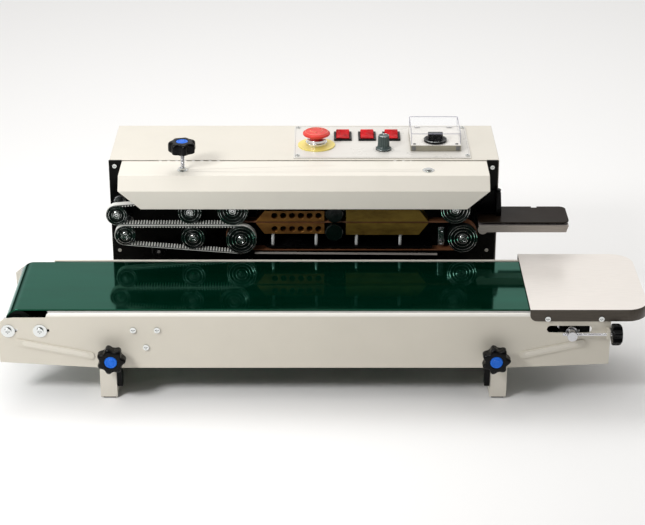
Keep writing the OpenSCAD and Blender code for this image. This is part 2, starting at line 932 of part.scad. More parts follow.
module speed_knob() {
    z0 = panel_z + 0.4;
    color([0.33, 0.42, 0.42]) place()
    union() {
        difference() {
            union() {
                zcyl(speed_x, speed_y, z0, z0 + 3.5, 11.2);
                translate([speed_x, speed_y, z0 + 3.4])
                cylinder(h = 17.2, r1 = 9, r2 = 7.4, $fn = 64);
            }
            for (i = [0 : 17])
                rotate_about(speed_x, speed_y, i * 20)
                zcyl(speed_x + 9, speed_y, z0 + 4.5, z0 + 22, 0.8, 16);
        }
        zcyl(speed_x, speed_y, panel_z - 14, z0 + eps, 3);
    }
}

// Turns children about a vertical axis
module rotate_about(x, y, a) {
    translate([x, y, 0])
    rotate(a)
    translate([-x, -y, 0])
    children();
}

module controller_body() {
    z1 = panel_z + ctrl_h;
    color([0.80, 0.79, 0.74]) place()
    difference() {
        union() {
            block([ctrl_x0, ctrl_y0, panel_z], [ctrl_x1, ctrl_y1, z1]);
            block([ctrl_x0 + ctrl_neck, ctrl_y0 + ctrl_neck, panel_z - 60],
                  [ctrl_x1 - ctrl_neck, ctrl_y1 - ctrl_neck, panel_z + eps]);
        }
        zcyl(dial_x, dial_y, z1 - 14, z1 + 1, 3 + fit);
    }
}

module temperature_dial() {
    z0 = panel_z + ctrl_h + 0.4;
    color(black) place()
    union() {
        zcyl(dial_x, dial_y, z0, z0 + 3, 16);
        difference() {
            zcyl(dial_x, dial_y, z0 + 3 - eps, z0 + 11.5, 10.5);
            for (s = [-1, 1])
                translate([dial_x, dial_y + s * 10, 0])
                block([-12, -5.5, z0 + 3], [12, 5.5, z0 + 13]);
        }
        zcyl(dial_x, dial_y, z0 - 13, z0 + eps, 3);
    }
}

module controller_lid() {
    z0 = panel_z + ctrl_h + 0.4;
    color([0.85, 0.90, 0.92, 0.35]) place()
    difference() {
        block([ctrl_x0, ctrl_y0, z0], [ctrl_x1, ctrl_y1, lid_top]);
        block([ctrl_x0 + lid_t, ctrl_y0 + lid_t, z0 - 1], [ctrl_x1 - lid_t, ctrl_y1 - lid_t, lid_top - lid_t]);
    }
}

module pressure_knob() {
    knob_z = 274;
    color(black) place()
    union() {
        translate([pressure_x, pressure_y, knob_z])
        star_knob(19, 15.5, 8);
        zcyl(pressure_x, pressure_y, knob_z - 4, knob_z + eps, 7);
        zcyl(pressure_x, pressure_y, 226, knob_z, 2.8, 48);
    }
}

// ---- Conveyor ----

// Outline of the side panels; notch cuts the top away over the drive roller
module panel_outline(notch) {
    left = -conveyor_left;
    right = panel_right;
    shoulder = 330;
    top = panel_top;
    polygon([[left, panel_bottom + 8.5], [-262, panel_bottom], [262, panel_bottom],
             [right, panel_bottom + 6], [right, top], [-shoulder, top],
             [-shoulder - 2, notch ? top - 5.3 : top], [-374, notch ? top - 5.3 : top],
             [left + 8, top - 7], [left, top - 14]]);
}

// Pressed rib on the panel's outer face, from one point to another
module pressed_rib(p, q) {
    rib_r = 5;
    rib_h = 1.7;
    xz_plate(-rib_h, 0.5)
    loop_2d(p, rib_r, q, rib_r, 16);
}

module front_panel() {
    color(cream) place()
    difference() {
        union() {
            xz_plate(0, sheet)
            panel_outline(true);
            pressed_rib([-368, 84], [-276, 65]);
            pressed_rib([286, 66], [360, 83]);
            // Ledge strip along the front of the belt
            block([-329, sheet + seam, panel_top - sheet], [panel_right - 0.5, belt_front - 0.5, panel_top]);
            // Stiffener along the bottom, between the arms
            block([-228, sheet + seam, panel_bottom], [228, 14, panel_bottom + sheet]);
            // Lug for the tension rod
            block([391, tension_y - 5, tension_z - 6], [395, -seam, tension_z + 6]);
        }
        for (s = [-1, 1])
            ycyl(s * clamp_x, clamp_z, -1, 3, clamp_bolt_r + fit);
        // Oval slot for the tension block
        ycyl(slot_x0 + slot_r, slot_z, -1, 3, slot_r);
        ycyl(slot_x1 - slot_r, slot_z, -1, 3, slot_r);
        block([slot_x0 + slot_r, -1, slot_z - slot_r], [slot_x1 - slot_r, 3, slot_z + slot_r]);
        // Short slots beside the two big washers
        for (x = [-381, -339.7])
            block([x, -1, 98.5], [x + 12, 3, 102.5]);
        xcyl(tension_y, tension_z, 390, 396, rod_r + fit);
    }
}

module rear_panel() {
    color(cream) place()
    difference() {
        union() {
            xz_plate(rear_face - sheet, rear_face)
            union() {
                panel_outline(false);
                polygon([[-340, panel_top - 2], [380, panel_top - 2], [380, belt_top + 1],
                         [-340, belt_top + 1]]);
            }
            block([-228, rear_face - 12, panel_bottom], [228, rear_face, panel_bottom + sheet]);
            // Guard strip beside the belt's rear edge
            block([-340, rear_face - sheet - 2.2, belt_top - 0.6],
                  [table_left - 1, rear_face - sheet - seam, belt_top + 1]);
        }
        // Slot for the rear end of the tension roller's axle
        block([325, rear_face - 5, roller_z - 4.5], [350, rear_face + 1, roller_z + 4.5]);
    }
}

module slider_bed() {
    rear_in = rear_face - sheet;
    color(steel) place() {
        block([-330, belt_front, panel_top], [316, rear_in, panel_top + 1.6]);
        // Cross bars between the side panels
        for (x = [-204, 0, 204])
            ycyl(x, 76, sheet, rear_in, 5);
        // Plates that carry the drive roller
        for (y = [2, rear_in - 3.4])
            difference() {
                block([-386, y, 94], [-332, y + 3, 117]);
                ycyl(-drive_roller_x, roller_z, y - 1, y + 4, axle_r + fit);
            }
        block([-345, sheet, 97], [-335, 2.5, 104]);
        block([-386, sheet, 97], [-376, 2.5, 104]);
        block([-345, rear_in - 0.6, 97], [-335, rear_in, 104]);
        block([-386, rear_in - 0.6, 97], [-376, rear_in, 104]);
    }
}

module conveyor_belt() {
    color([0.02, 0.22, 0.12]) place()
    belt_loop([-drive_roller_x, roller_z], belt_r, [tension_roller_x, roller_z], belt_r,
              belt_t, belt_front, belt_front + belt_w);
}

// Roller with stub axles, along Y
module roller(x) {
    y0 = belt_front + 1;
    y1 = belt_front + belt_w - 1;
    union() {
        ycyl(x, roller_z, y0, y1, roller_r);
        ycyl(x, roller_z, 2.2, rear_face - sheet - 0.5, axle_r);
    }
}

module drive_roller() {
    color(dark_rubber) place()
    roller(-drive_roller_x);
}

module tension_roller() {
    color(steel) place()
    roller(tension_roller_x);
}

module tension_block() {
    rear_in = rear_face - sheet;
    color(steel) place()
    difference() {
        union() {
            ycyl(block_x, 98, -13.5, -2.4, 6.5);
            ycyl(block_x, slot_z, -2.4, 3, 4.2);
            ycyl(block_x, 99, -3, -0.4, 8);
            block([tension_roller_x - 12, 3 - eps, 94], [block_x + 10, 5.5, 118]);
            block([tension_roller_x - 12, rear_in - 3.6, 94], [tension_roller_x + 12, rear_in - 0.6, 118]);
        }
        xcyl(tension_y, tension_z, block_x - 10, block_x + 10, rod_r + fit);
        ycyl(tension_roller_x, roller_z, 1.9, 8, axle_r + fit);
        ycyl(tension_roller_x, roller_z, rear_in - 5, rear_in + 1, axle_r + fit);
    }
}

module tension_knob() {
    color(black) place()
    union() {
        translate([panel_right + 0.4, tension_y, tension_z])
        rotate([0, 90, 0])
        star_knob(14.5, 13.4, 5);
        xcyl(tension_y, tension_z, 334, panel_right + 1, rod_r);
    }
}

module worktable() {
    r = 29;
    t = 1.6;
    lower_r = 9;
    color(steel) place()
    difference() {
        union() {
            block([table_left, table_front, skirt_z], [table_right - r, table_back, table_top]);
            block([table_left, table_front + r, skirt_z], [table_right, table_back - r, table_top]);
            zcyl(table_right - r, table_front + r, skirt_z, table_top, r);
            zcyl(table_right - r, table_back - r, skirt_z, table_top, r);
        }
        // Hollow underside
        block([table_left - 1, table_front + t, skirt_z - 1], [table_right - r, table_back - t, table_top - t]);
        block([table_left - 1, table_front + r, skirt_z - 1], [table_right - t, table_back - r, table_top - t]);
        zcyl(table_right - r, table_front + r, skirt_z - 1, table_top - t, r - t);
        zcyl(table_right - r, table_back - r, skirt_z - 1, table_top - t, r - t);
        // Rounded lower left corners of the skirt
        difference() {
            block([table_left - 1, table_front - 1, skirt_z - 1],
                  [table_left + lower_r, table_back + 1, skirt_z + lower_r]);
            ycyl(table_left + lower_r, skirt_z + lower_r, table_front - 2, table_back + 2, lower_r);
        }
    }
}

module conveyor_screws() {
    color(steel) place() {
        // Big washers with screws, which hold the roller plates
        for (x = [-381, -339.7]) {
            ycyl(x, 100.5, -1.4, 0, 9);
            front_screw(x, 100.5, -1.4, 4.6, 2.4);
            ycyl(x, 100.5, rear_face, rear_face + 1.4, 9);
        }
        for (p = [[-219.6, 101.6], [-188.6, 101.6], [-203.7, 76.9]])
            front_screw(p[0], p[1], 0, 4, 2.2);
        for (x = [315, 384])
            front_screw(x, 118.5, table_front, 3.6, 2);
    }
}

// Bars that slide against the arms, and the nuts of the clamp knobs
module slide_bars() {
    nut_y0 = 5.4;
    color(black) place()
    for (s = [-1, 1]) {
        block([s * 240 - 3.5, sheet, 19], [s * 240 + 3.5, 14, 64]);
        difference() {
            ycyl(s * clamp_x, clamp_z, nut_y0, nut_y0 + 4, 8, 6);
            ycyl(s * clamp_x, clamp_z, nut_y0 - 1, nut_y0 + 5, clamp_bolt_r + fit);
        }
    }
}

module clamp_knob(x) {
    union() {
        translate([x, -12, clamp_z])
        rotate([90, 0, 0])
        star_knob(19, 16, 8.3);
        ycyl(x, clamp_z, -12 - eps, -0.3, 9);
        ycyl(x, clamp_z, -1, 9.2, clamp_bolt_r);
    }
}

module clamp_knob_left() {
    color(black) place()
    clamp_knob(-clamp_x);
}

module clamp_knob_right() {
    color(black) place()
    clamp_knob(clamp_x);
}

housing_shell();
rear_cover();
main_plate();
guard_cover();
housing_screws();
control_plate();
support_arm_left();
support_arm_right();
foot_pads();
upper_heater_block();
lower_heater_block();
upper_cooling_block();
lower_cooling_block();
block_studs();
upper_sealing_belt();
lower_sealing_belt();
upper_toothed_belt();
lower_toothed_belt();
shaft_bearings();
upper_infeed_guide();
lower_infeed_guide();
guide_bracket();
estop_base();
rocker_bezels();
controller_body();
gearmotor();
power_inlet();
fan_frame();
fan_rotor();
lower_drive_wheel();
upper_drive_wheel();
lower_idler_wheel();
upper_idler_wheel();
lower_guide_pulley();
upper_guide_pulley();
lower_press_wheel();
upper_press_wheel();
lower_pinch_roller();
upper_pinch_roller();
pressure_knob();
estop_button();
rocker_drive();
rocker_fan();
rocker_heat();
speed_knob();
temperature_dial();
controller_lid();
front_panel();
rear_panel();
slider_bed();
conveyor_belt();
worktable();
conveyor_screws();
slide_bars();
drive_roller();
tension_roller();
tension_knob();
tension_block();
clamp_knob_left();
clamp_knob_right();
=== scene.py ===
"""Looks of the continuous band sealer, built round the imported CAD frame.

mm(), turned(), bead(), threaded() and their profiles take millimetres; all other lengths are in metres.
CAD nodes that keep their shape get materials and softened edges; knobs, the conveyor belt,
switches, the clear lid and small fittings are modelled in full.
"""
import json
import math

import bmesh
import bpy
from mathutils import Matrix, Vector


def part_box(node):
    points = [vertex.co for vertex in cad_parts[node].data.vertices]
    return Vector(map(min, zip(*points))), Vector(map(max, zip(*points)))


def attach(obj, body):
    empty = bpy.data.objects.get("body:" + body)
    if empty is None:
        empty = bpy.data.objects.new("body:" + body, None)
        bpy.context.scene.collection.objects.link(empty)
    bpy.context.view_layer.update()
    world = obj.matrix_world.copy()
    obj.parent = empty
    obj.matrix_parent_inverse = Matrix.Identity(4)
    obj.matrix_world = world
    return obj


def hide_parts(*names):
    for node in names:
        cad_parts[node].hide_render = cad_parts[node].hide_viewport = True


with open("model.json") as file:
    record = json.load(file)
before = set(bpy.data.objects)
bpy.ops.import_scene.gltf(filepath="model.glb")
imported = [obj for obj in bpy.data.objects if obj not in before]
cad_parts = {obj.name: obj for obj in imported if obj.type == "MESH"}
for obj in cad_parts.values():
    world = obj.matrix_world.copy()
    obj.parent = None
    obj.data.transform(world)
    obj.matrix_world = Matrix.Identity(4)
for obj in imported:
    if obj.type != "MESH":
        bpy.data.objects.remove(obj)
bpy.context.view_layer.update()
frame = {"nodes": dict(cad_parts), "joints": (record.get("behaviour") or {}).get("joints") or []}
MM = 0.001
UP = Vector((0, 0, 1))
FRONT = Vector((0, -1, 0))
BACK = Vector((0, 1, 0))
RIGHT = Vector((1, 0, 0))
nodes = frame["nodes"]
joints = {j["name"]: j for j in frame["joints"]}


# ---- Camera, floor and light ----

def make_camera():
    data = bpy.data.cameras.new("camera")
    data.sensor_width = 36
    data.lens = 104.6
    data.clip_start = 0.05
    data.clip_end = 60
    cam = bpy.data.objects.new("camera", data)
    cam.location = (-0.001, -2.3421, 1.1703)
    cam.rotation_euler = (math.radians(90 - 24.14), 0, 0)
    bpy.context.scene.collection.objects.link(cam)
    bpy.context.scene.camera = cam


def area_light(name, location, target, size, watts, spread_deg=180):
    data = bpy.data.lights.new(name, "AREA")
    data.shape = "RECTANGLE"
    data.size, data.size_y = size
    data.energy = watts
    data.spread = math.radians(spread_deg)
    light = bpy.data.objects.new(name, data)
    light.location = location
    aim = Vector(target) - Vector(location)
    light.rotation_euler = aim.to_track_quat("-Z", "Y").to_euler()
    bpy.context.scene.collection.objects.link(light)


def make_world():
    """Studio surroundings: bright above and behind, dim on the camera's side and near the horizon."""
    world = bpy.data.worlds.new("studio")
    bpy.context.scene.world = world
    world.use_nodes = True
    tree = world.node_tree
    background = tree.nodes["Background"]
    background.inputs["Color"].default_value = (1.0, 0.993, 0.98, 1)
    view = tree.nodes.new("ShaderNodeTexCoord").outputs["Generated"]
    facing = tree.nodes.new("ShaderNodeVectorMath")
    facing.operation = "DOT_PRODUCT"
    facing.inputs[1].default_value = Vector((-0.35, 0.75, 0.55)).normalized()
    tree.links.new(view, facing.inputs[0])
    darkest = 0.03
    level = spread(tree, facing.outputs["Value"], -0.55, 0.55, darkest, 1.0, "SMOOTHSTEP")
    skyline = spread(tree, component(tree, view, "Z"), 0.10, 0.34, darkest, 1.0, "SMOOTHSTEP")
    both = tree.nodes.new("ShaderNodeMath")
    both.operation = "MULTIPLY"
    tree.links.new(level, both.inputs[0])
    tree.links.new(skyline, both.inputs[1])
    tree.links.new(both.outputs["Value"], background.inputs["Strength"])


def make_studio():
    make_world()
    area_light("key", (-0.95, -1.05, 1.15), (-0.22, 0, 0.12), (0.35, 0.35), 3.7, 85)
    area_light("top", (-0.2, 0.85, 1.9), (0, 0.35, 0.1), (1.3, 1.0), 12.5)
    bpy.ops.mesh.primitive_plane_add(size=40, location=(0, 0, 0))
    floor = bpy.context.object
    floor.name = "floor"
    floor.data.materials.append(new_material("floor_white", (0.87, 0.865, 0.86), 0.7)[0])
    view = bpy.context.scene.view_settings
    view.view_transform = "Standard"
    view.look = "None"


# ---- Materials ----

def new_material(name, colour, roughness, metallic=0.0, **sockets):
    """A Principled material; extra sockets are set by name, with spaces as underscores."""
    m = bpy.data.materials.new(name)
    m.use_nodes = True
    tree = m.node_tree
    shader = tree.nodes["Principled BSDF"]
    shader.inputs["Base Color"].default_value = (*colour, 1)
    shader.inputs["Roughness"].default_value = roughness
    shader.inputs["Metallic"].default_value = metallic
    for key, value in sockets.items():
        shader.inputs[key.replace("_", " ")].default_value = value
    return m, shader, tree


def object_coords(tree, scale=(1, 1, 1)):
    coords = tree.nodes.new("ShaderNodeTexCoord")
    mapping = tree.nodes.new("ShaderNodeMapping")
    mapping.inputs["Scale"].default_value = scale
    tree.links.new(coords.outputs["Object"], mapping.inputs["Vector"])
    return mapping.outputs["Vector"]


def noise(tree, vector, scale, detail=3.0, rough=0.55):
    n = tree.nodes.new("ShaderNodeTexNoise")
    n.inputs["Scale"].default_value = scale
    n.inputs["Detail"].default_value = detail
    n.inputs["Roughness"].default_value = rough
    tree.links.new(vector, n.inputs["Vector"])
    return n.outputs["Fac"]


def component(tree, vector, axis):
    split = tree.nodes.new("ShaderNodeSeparateXYZ")
    tree.links.new(vector, split.inputs["Vector"])
    return split.outputs[axis]


def spread(tree, value, low, high, out_low=0.0, out_high=1.0, easing="LINEAR"):
    """Maps a value from low..high to out_low..out_high."""
    r = tree.nodes.new("ShaderNodeMapRange")
    r.interpolation_type = easing
    for key, v in zip(("From Min", "From Max", "To Min", "To Max"), (low, high, out_low, out_high)):
        r.inputs[key].default_value = v
    tree.links.new(value, r.inputs["Value"])
    return r.outputs["Result"]


def mix_colours(tree, factor, a, b):
    """Colours a and b mixed by factor; each is a tuple or a socket."""
    m = tree.nodes.new("ShaderNodeMix")
    m.data_type = "RGBA"
    tree.links.new(factor, m.inputs["Factor"])
    for key, c in (("A", a), ("B", b)):
        socket = next(s for s in m.inputs if s.name == key and s.type == "RGBA")
        if isinstance(c, tuple):
            socket.default_value = (*c, 1)
        else:
            tree.links.new(c, socket)
    return next(s for s in m.outputs if s.type == "RGBA")


def bump(tree, shader, height, distance, strength=1.0):
    b = tree.nodes.new("ShaderNodeBump")
    b.inputs["Distance"].default_value = distance
    b.inputs["Strength"].default_value = strength
    tree.links.new(height, b.inputs["Height"])
    tree.links.new(b.outputs["Normal"], shader.inputs["Normal"])


def facing_up(tree):
    """How far the surface faces straight up or down, from 0 to 1."""
    geometry = tree.nodes.new("ShaderNodeNewGeometry")
    size = tree.nodes.new("ShaderNodeMath")
    size.operation = "ABSOLUTE"
    tree.links.new(component(tree, geometry.outputs["Normal"], "Z"), size.inputs[0])
    return size.outputs["Value"]


def shaded(colour, amount):
    return tuple(c * amount for c in colour)


def painted(name, colour, roughness=0.42, shade=0.94, grain=900, bump_mm=0.03, **sockets):
    """Powder coat: fine orange peel, faint cloudiness and an uneven sheen."""
    m, shader, tree = new_material(name, colour, roughness, **sockets)
    v = object_coords(tree)
    cloudy = spread(tree, noise(tree, v, 14, 4), 0.35, 0.7)
    tree.links.new(mix_colours(tree, cloudy, colour, shaded(colour, shade)), shader.inputs["Base Color"])
    sheen = spread(tree, noise(tree, v, 35, 5), 0.3, 0.75, roughness - 0.06, roughness + 0.08)
    tree.links.new(sheen, shader.inputs["Roughness"])
    bump(tree, shader, noise(tree, v, grain, 2), bump_mm * MM, 0.4)
    return m


def moulded(name, colour, roughness=0.45, shade=0.8, grain=2200, bump_mm=0.02, **sockets):
    """Moulded plastic or rubber: fine texture and uneven sheen."""
    m, shader, tree = new_material(name, colour, roughness, **sockets)
    v = object_coords(tree)
    patch = spread(tree, noise(tree, v, 60, 4), 0.35, 0.7)
    tree.links.new(mix_colours(tree, patch, colour, shaded(colour, shade)), shader.inputs["Base Color"])
    rough = spread(tree, noise(tree, v, 130, 3), 0.3, 0.7, roughness - 0.05, roughness + 0.07)
    tree.links.new(rough, shader.inputs["Roughness"])
    bump(tree, shader, noise(tree, v, grain, 2), bump_mm * MM, 0.5)
    return m


def metal(name, colour, roughness, grain=1500, shade=0.88, metallic=1.0):
    """Bare metal: fine grain and an uneven sheen."""
    m, shader, tree = new_material(name, colour, roughness, metallic)
    brushed = noise(tree, object_coords(tree), grain, 3, 0.6)
    streak = spread(tree, brushed, 0.35, 0.65)
    tree.links.new(mix_colours(tree, streak, shaded(colour, shade), colour), shader.inputs["Base Color"])
    cloudy = noise(tree, object_coords(tree), 30, 3)
    uneven = spread(tree, cloudy, 0.3, 0.7, roughness - 0.03, roughness + 0.06)
    tree.links.new(uneven, shader.inputs["Roughness"])
    bump(tree, shader, brushed, 0.004 * MM, 0.3)
    return m


def shade_by_facing(name, top, side, roughness, metallic, bump_mm=0.003, **sockets):
    """Brushed along X; faces that lie flat and upright faces get different colours: painted light and shade
    for how the lamps fall on them.
    """
    m, shader, tree = new_material(name, top, roughness, metallic, **sockets)
    facing = spread(tree, facing_up(tree), 0.35, 0.8)
    brushed = noise(tree, object_coords(tree, (0.05, 1, 1)), 900, 3, 0.6)
    streak = spread(tree, brushed, 0.3, 0.7)
    face = mix_colours(tree, streak, shaded(top, 0.93), top)
    # Colour of the upright faces, painted by facing: painted shade on the table and controller, painted light
    # on the dark guide.
    edge = mix_colours(tree, streak, shaded(side, 0.75), side)
    tree.links.new(mix_colours(tree, facing, edge, face), shader.inputs["Base Color"])
    cloudy = noise(tree, object_coords(tree), 25, 3)
    uneven = spread(tree, cloudy, 0.3, 0.7, roughness - 0.03, roughness + 0.05)
    tree.links.new(uneven, shader.inputs["Roughness"])
    bump(tree, shader, brushed, bump_mm * MM, 0.3)
    return m


def recolour_beyond(name, axis, start, end, colour):
    """Blends a material of PAINT into another colour, between two places along an axis of the part."""
    tree = PAINT[name].node_tree
    base = tree.nodes["Principled BSDF"].inputs["Base Color"]
    before = base.links[0].from_socket
    beyond = spread(tree, component(tree, object_coords(tree), axis), start, end)
    tree.links.new(mix_colours(tree, beyond, before, colour), base)


def brass_material(name, colour, tint):
    """Machined brass, browned by heat in patches."""
    m, shader, tree = new_material(name, colour, 0.40, 0.75)
    patches = spread(tree, noise(tree, object_coords(tree, (1, 1, 3)), 26, 5, 0.7), 0.35, 0.68)
    tree.links.new(mix_colours(tree, patches, colour, tint), shader.inputs["Base Color"])
    bump(tree, shader, noise(tree, object_coords(tree, (1, 1, 20)), 90, 4, 0.7), 0.02 * MM, 0.5)
    rough = spread(tree, noise(tree, object_coords(tree), 60, 4), 0.3, 0.7, 0.30, 0.5)
    tree.links.new(rough, shader.inputs["Roughness"])
    return m


def green_belt_material():
    """Smooth green PVC: very glossy, slightly wavy, with scuffs along its travel."""
    m, shader, tree = new_material("green_pvc", (0.001, 0.06, 0.03), 0.08, 0.82)
    shader.inputs["IOR"].default_value = 1.6
    shader.inputs["Specular Tint"].default_value = (0.75, 1.0, 0.97, 1)
    lengthwise = object_coords(tree, (0.12, 1, 1))
    scuff = spread(tree, noise(tree, lengthwise, 55, 5, 0.6), 0.42, 0.75)
    base = mix_colours(tree, scuff, (0.0005, 0.052, 0.024), (0.001, 0.070, 0.036))
    tree.links.new(base, shader.inputs["Base Color"])
    rough = spread(tree, noise(tree, lengthwise, 90, 4), 0.3, 0.75, 0.03, 0.11)
    tree.links.new(rough, shader.inputs["Roughness"])
    bump(tree, shader, noise(tree, object_coords(tree, (1, 0.4, 1)), 10, 2, 0.4), 0.12 * MM, 1.0)
    return m


def woven_material():
    """PTFE-coated glass cloth: a fine plain weave under a waxy brown surface."""
    m, shader, tree = new_material("sealing_band", (0.20, 0.075, 0.03), 0.38)
    checks = tree.nodes.new("ShaderNodeTexChecker")
    checks.inputs["Scale"].default_value = 1400
    checks.inputs["Color1"].default_value = (0.24, 0.10, 0.045, 1)
    checks.inputs["Color2"].default_value = (0.13, 0.048, 0.022, 1)
    tree.links.new(object_coords(tree), checks.inputs["Vector"])
    tree.links.new(checks.outputs["Color"], shader.inputs["Base Color"])
    bump(tree, shader, checks.outputs["Fac"], 0.05 * MM, 0.5)
    return m


def clear_material():
    """Clear polycarbonate: faint on its faces, denser where it is seen edge on."""
    m, shader, tree = new_material("clear_polycarbonate", (0.80, 0.82, 0.88), 0.05)
    weight = tree.nodes.new("ShaderNodeLayerWeight")
    weight.inputs["Blend"].default_value = 0.35
    tree.links.new(spread(tree, weight.outputs["Facing"], 0.2, 1.0, 0.008, 0.13), shader.inputs["Alpha"])
    v = object_coords(tree, (1, 0.15, 1))
    rough = spread(tree, noise(tree, v, 240, 4), 0.45, 0.8, 0.03, 0.18)
    tree.links.new(rough, shader.inputs["Roughness"])
    return m


CREAM = (0.70, 0.66, 0.58)
PAINT = {
    "cream": painted("cream_powder_coat", CREAM, 0.38, 0.965, 1100, 0.03),
    "black": painted("black_paint", (0.0008, 0.0008, 0.0009), 0.30, 0.6, 1300, 0.03, Specular_IOR_Level=0.14),
    "plate": painted("control_plate_paint", (0.70, 0.675, 0.63), 0.30, 0.97, 1500, 0.005),
    "zinc": metal("zinc_plate", (0.62, 0.62, 0.64), 0.20),
    # Zinc for the tension block; paint_nodes darkens its inside as painted shade.
    "block_zinc_inside_shade": metal("block_zinc_inside_shade", (0.62, 0.62, 0.64), 0.20),
    "polished": metal("polished_steel", (0.80, 0.80, 0.82), 0.12, shade=0.93),
    "ring_steel": metal("turned_steel", (0.74, 0.76, 0.75), 0.16, grain=1800, shade=0.85),
    # table, guide_dark, guide_light and ivory: flat and upright faces coloured apart, as painted light and
    # shade.
    "table": shade_by_facing("table_steel", (0.84, 0.79, 0.74), (0.075, 0.062, 0.048), 0.34, 0.45),
    "guide_dark": shade_by_facing("guide_steel_dark", (0.012, 0.007, 0.004), (0.035, 0.028, 0.024), 0.34, 0.0,
                            Specular_IOR_Level=0.08),
    "guide_light": shade_by_facing("guide_steel_light", (0.46, 0.415, 0.40), (0.46, 0.41, 0.37), 0.34, 0.35),
    # dark_wheel: the wheels' black finish, with a faint green tint that is a painted reflection of the green
    # conveyor belt.
    "dark_wheel": moulded("dark_wheel", (0.0022, 0.0045, 0.0036), 0.30, 0.5, 900, 0.01,
                          Specular_IOR_Level=0.10),
    "stud_steel": metal("stud_steel", (0.85, 0.85, 0.85), 0.22, shade=0.95, metallic=0.35),
    # Grey rods on the clear lid's edges: painted shade and reflection.
    "clear_edge_painted_light": moulded("clear_edge_painted_light", (0.36, 0.36, 0.46), 0.2, 0.9, 1500, 0.002, Alpha=0.55),
    "tooth": moulded("tooth_white", (0.80, 0.80, 0.76), 0.4, 0.9, 1500, 0.01),
    # Near black for the plate behind the panel's slot: painted shade.
    "slot_shade": moulded("slot_painted_shade", (0.002, 0.002, 0.002), 0.6, 0.7, 1500, 0.02, Specular_IOR_Level=0.1),
    "motor": painted("motor_casting", (0.10, 0.105, 0.11), 0.5, 0.7, 700, 0.08, Metallic=0.4),
    "heater_brass": brass_material("heater_brass", (0.30, 0.19, 0.035), (0.15, 0.085, 0.015)),
    "cooler_brass": brass_material("cooler_brass", (0.33, 0.15, 0.035), (0.18, 0.07, 0.018)),
    "green_belt": green_belt_material(),
    "band": woven_material(),
    # Near black for the toothed belts' root: painted shade on the white belt.
    "belt_root_shade": moulded("toothed_belt_root", (0.010, 0.011, 0.010), 0.5, 0.8, 1200, 0.02),
    "roller_rubber": moulded("knurled_silicone", (0.0015, 0.005, 0.004), 0.16, 0.6, 1400, 0.02),
    "foot_rubber": moulded("foot_rubber", (0.012, 0.012, 0.012), 0.7, 0.7, 900, 0.05),
    "black_plastic": moulded("black_plastic", (0.0012, 0.0012, 0.0016), 0.26, 0.7, 1800, 0.02,
                             Specular_IOR_Level=0.16),
    "red_button": moulded("estop_red", (0.74, 0.052, 0.038), 0.30, 0.88, 1500, 0.006,
                          Specular_IOR_Level=0.35),
    "red_mark": moulded("estop_mark", (0.80, 0.25, 0.17), 0.35, 0.9, 1500, 0.006),
    "yellow": moulded("estop_yellow", (0.86, 0.72, 0.16), 0.32, 0.9, 1500, 0.01, Coat_Weight=0.3),
    "rocker_red": moulded("rocker_red", (0.66, 0.0008, 0.006), 0.12, 0.4, 500, 0.02, Specular_IOR_Level=0.1),
    "knob_grey": moulded("knob_grey", (0.055, 0.085, 0.082), 0.34, 0.8, 1600, 0.02),
    # ivory: the controller's sides painted darker than its top, painted shade.
    "ivory": shade_by_facing("controller_ivory", (0.80, 0.77, 0.72), (0.36, 0.335, 0.26), 0.42, 0.0, bump_mm=0.02),
    "blue_cap": moulded("blue_cap", (0.004, 0.14, 0.70), 0.28, 0.85, 1500, 0.01, Specular_IOR_Level=0.3),
    "mark": moulded("mark_grey", (0.16, 0.16, 0.16), 0.5, 0.9, 1500, 0.004),
    "dark_screw": metal("dark_screw", (0.05, 0.05, 0.05), 0.3),
    "strip": metal("edge_strip", (0.42, 0.39, 0.36), 0.3, metallic=0.2),
    # Lighter and darker copies of the cream paint: painted light on the guard cover, painted shade on the
    # front panel.
    "cream_guard_painted_light": painted("cream_guard_painted_light", (0.77, 0.73, 0.65), 0.38, 0.965, 1100, 0.03),
    "cream_panel_painted_shade": painted("cream_panel_painted_shade", (0.645, 0.605, 0.52), 0.38, 0.965, 1100, 0.03),
    "clear": clear_material(),
}

NODE_PAINT = {
    "cream_guard_painted_light": ["guard_cover"],
    "cream": ["housing_shell", "rear_cover", "support_arm_left", "support_arm_right", "rear_panel"],
    "cream_panel_painted_shade": ["front_panel"],
    "black": ["main_plate", "guide_bracket", "slide_bars"],
    "plate": ["control_plate"],
    "zinc": ["shaft_bearings", "tension_roller", "slider_bed"],
    "block_zinc_inside_shade": ["tension_block"],
    "stud_steel": ["block_studs"],
    "ring_steel": ["conveyor_screws", "housing_screws"],
    "table": ["worktable"],
    "guide_dark": ["upper_infeed_guide"],
    "guide_light": ["lower_infeed_guide"],
    "foot_rubber": ["foot_pads"],
    "heater_brass": ["upper_heater_block", "lower_heater_block"],
    "cooler_brass": ["upper_cooling_block", "lower_cooling_block"],
    "band": ["upper_sealing_belt", "lower_sealing_belt"],
    "belt_root_shade": ["upper_toothed_belt", "lower_toothed_belt"],
    "yellow": ["estop_base"],
    "red_button": ["estop_button"],
    "black_plastic": ["rocker_bezels", "power_inlet", "fan_frame", "fan_rotor", "pressure_knob",
                      "tension_knob", "clamp_knob_left", "clamp_knob_right", "temperature_dial"],
    "rocker_red": ["rocker_drive", "rocker_fan", "rocker_heat"],
    "knob_grey": ["speed_knob"],
    "ivory": ["controller_body"],
    "clear": ["controller_lid"],
    "motor": ["gearmotor"],
    "dark_wheel": ["lower_drive_wheel", "upper_drive_wheel", "lower_idler_wheel", "upper_idler_wheel",
                   "lower_guide_pulley", "upper_guide_pulley", "lower_press_wheel", "upper_press_wheel",
                   "drive_roller"],
    "roller_rubber": ["lower_pinch_roller", "upper_pinch_roller"],
    "green_belt": ["conveyor_belt"],
}

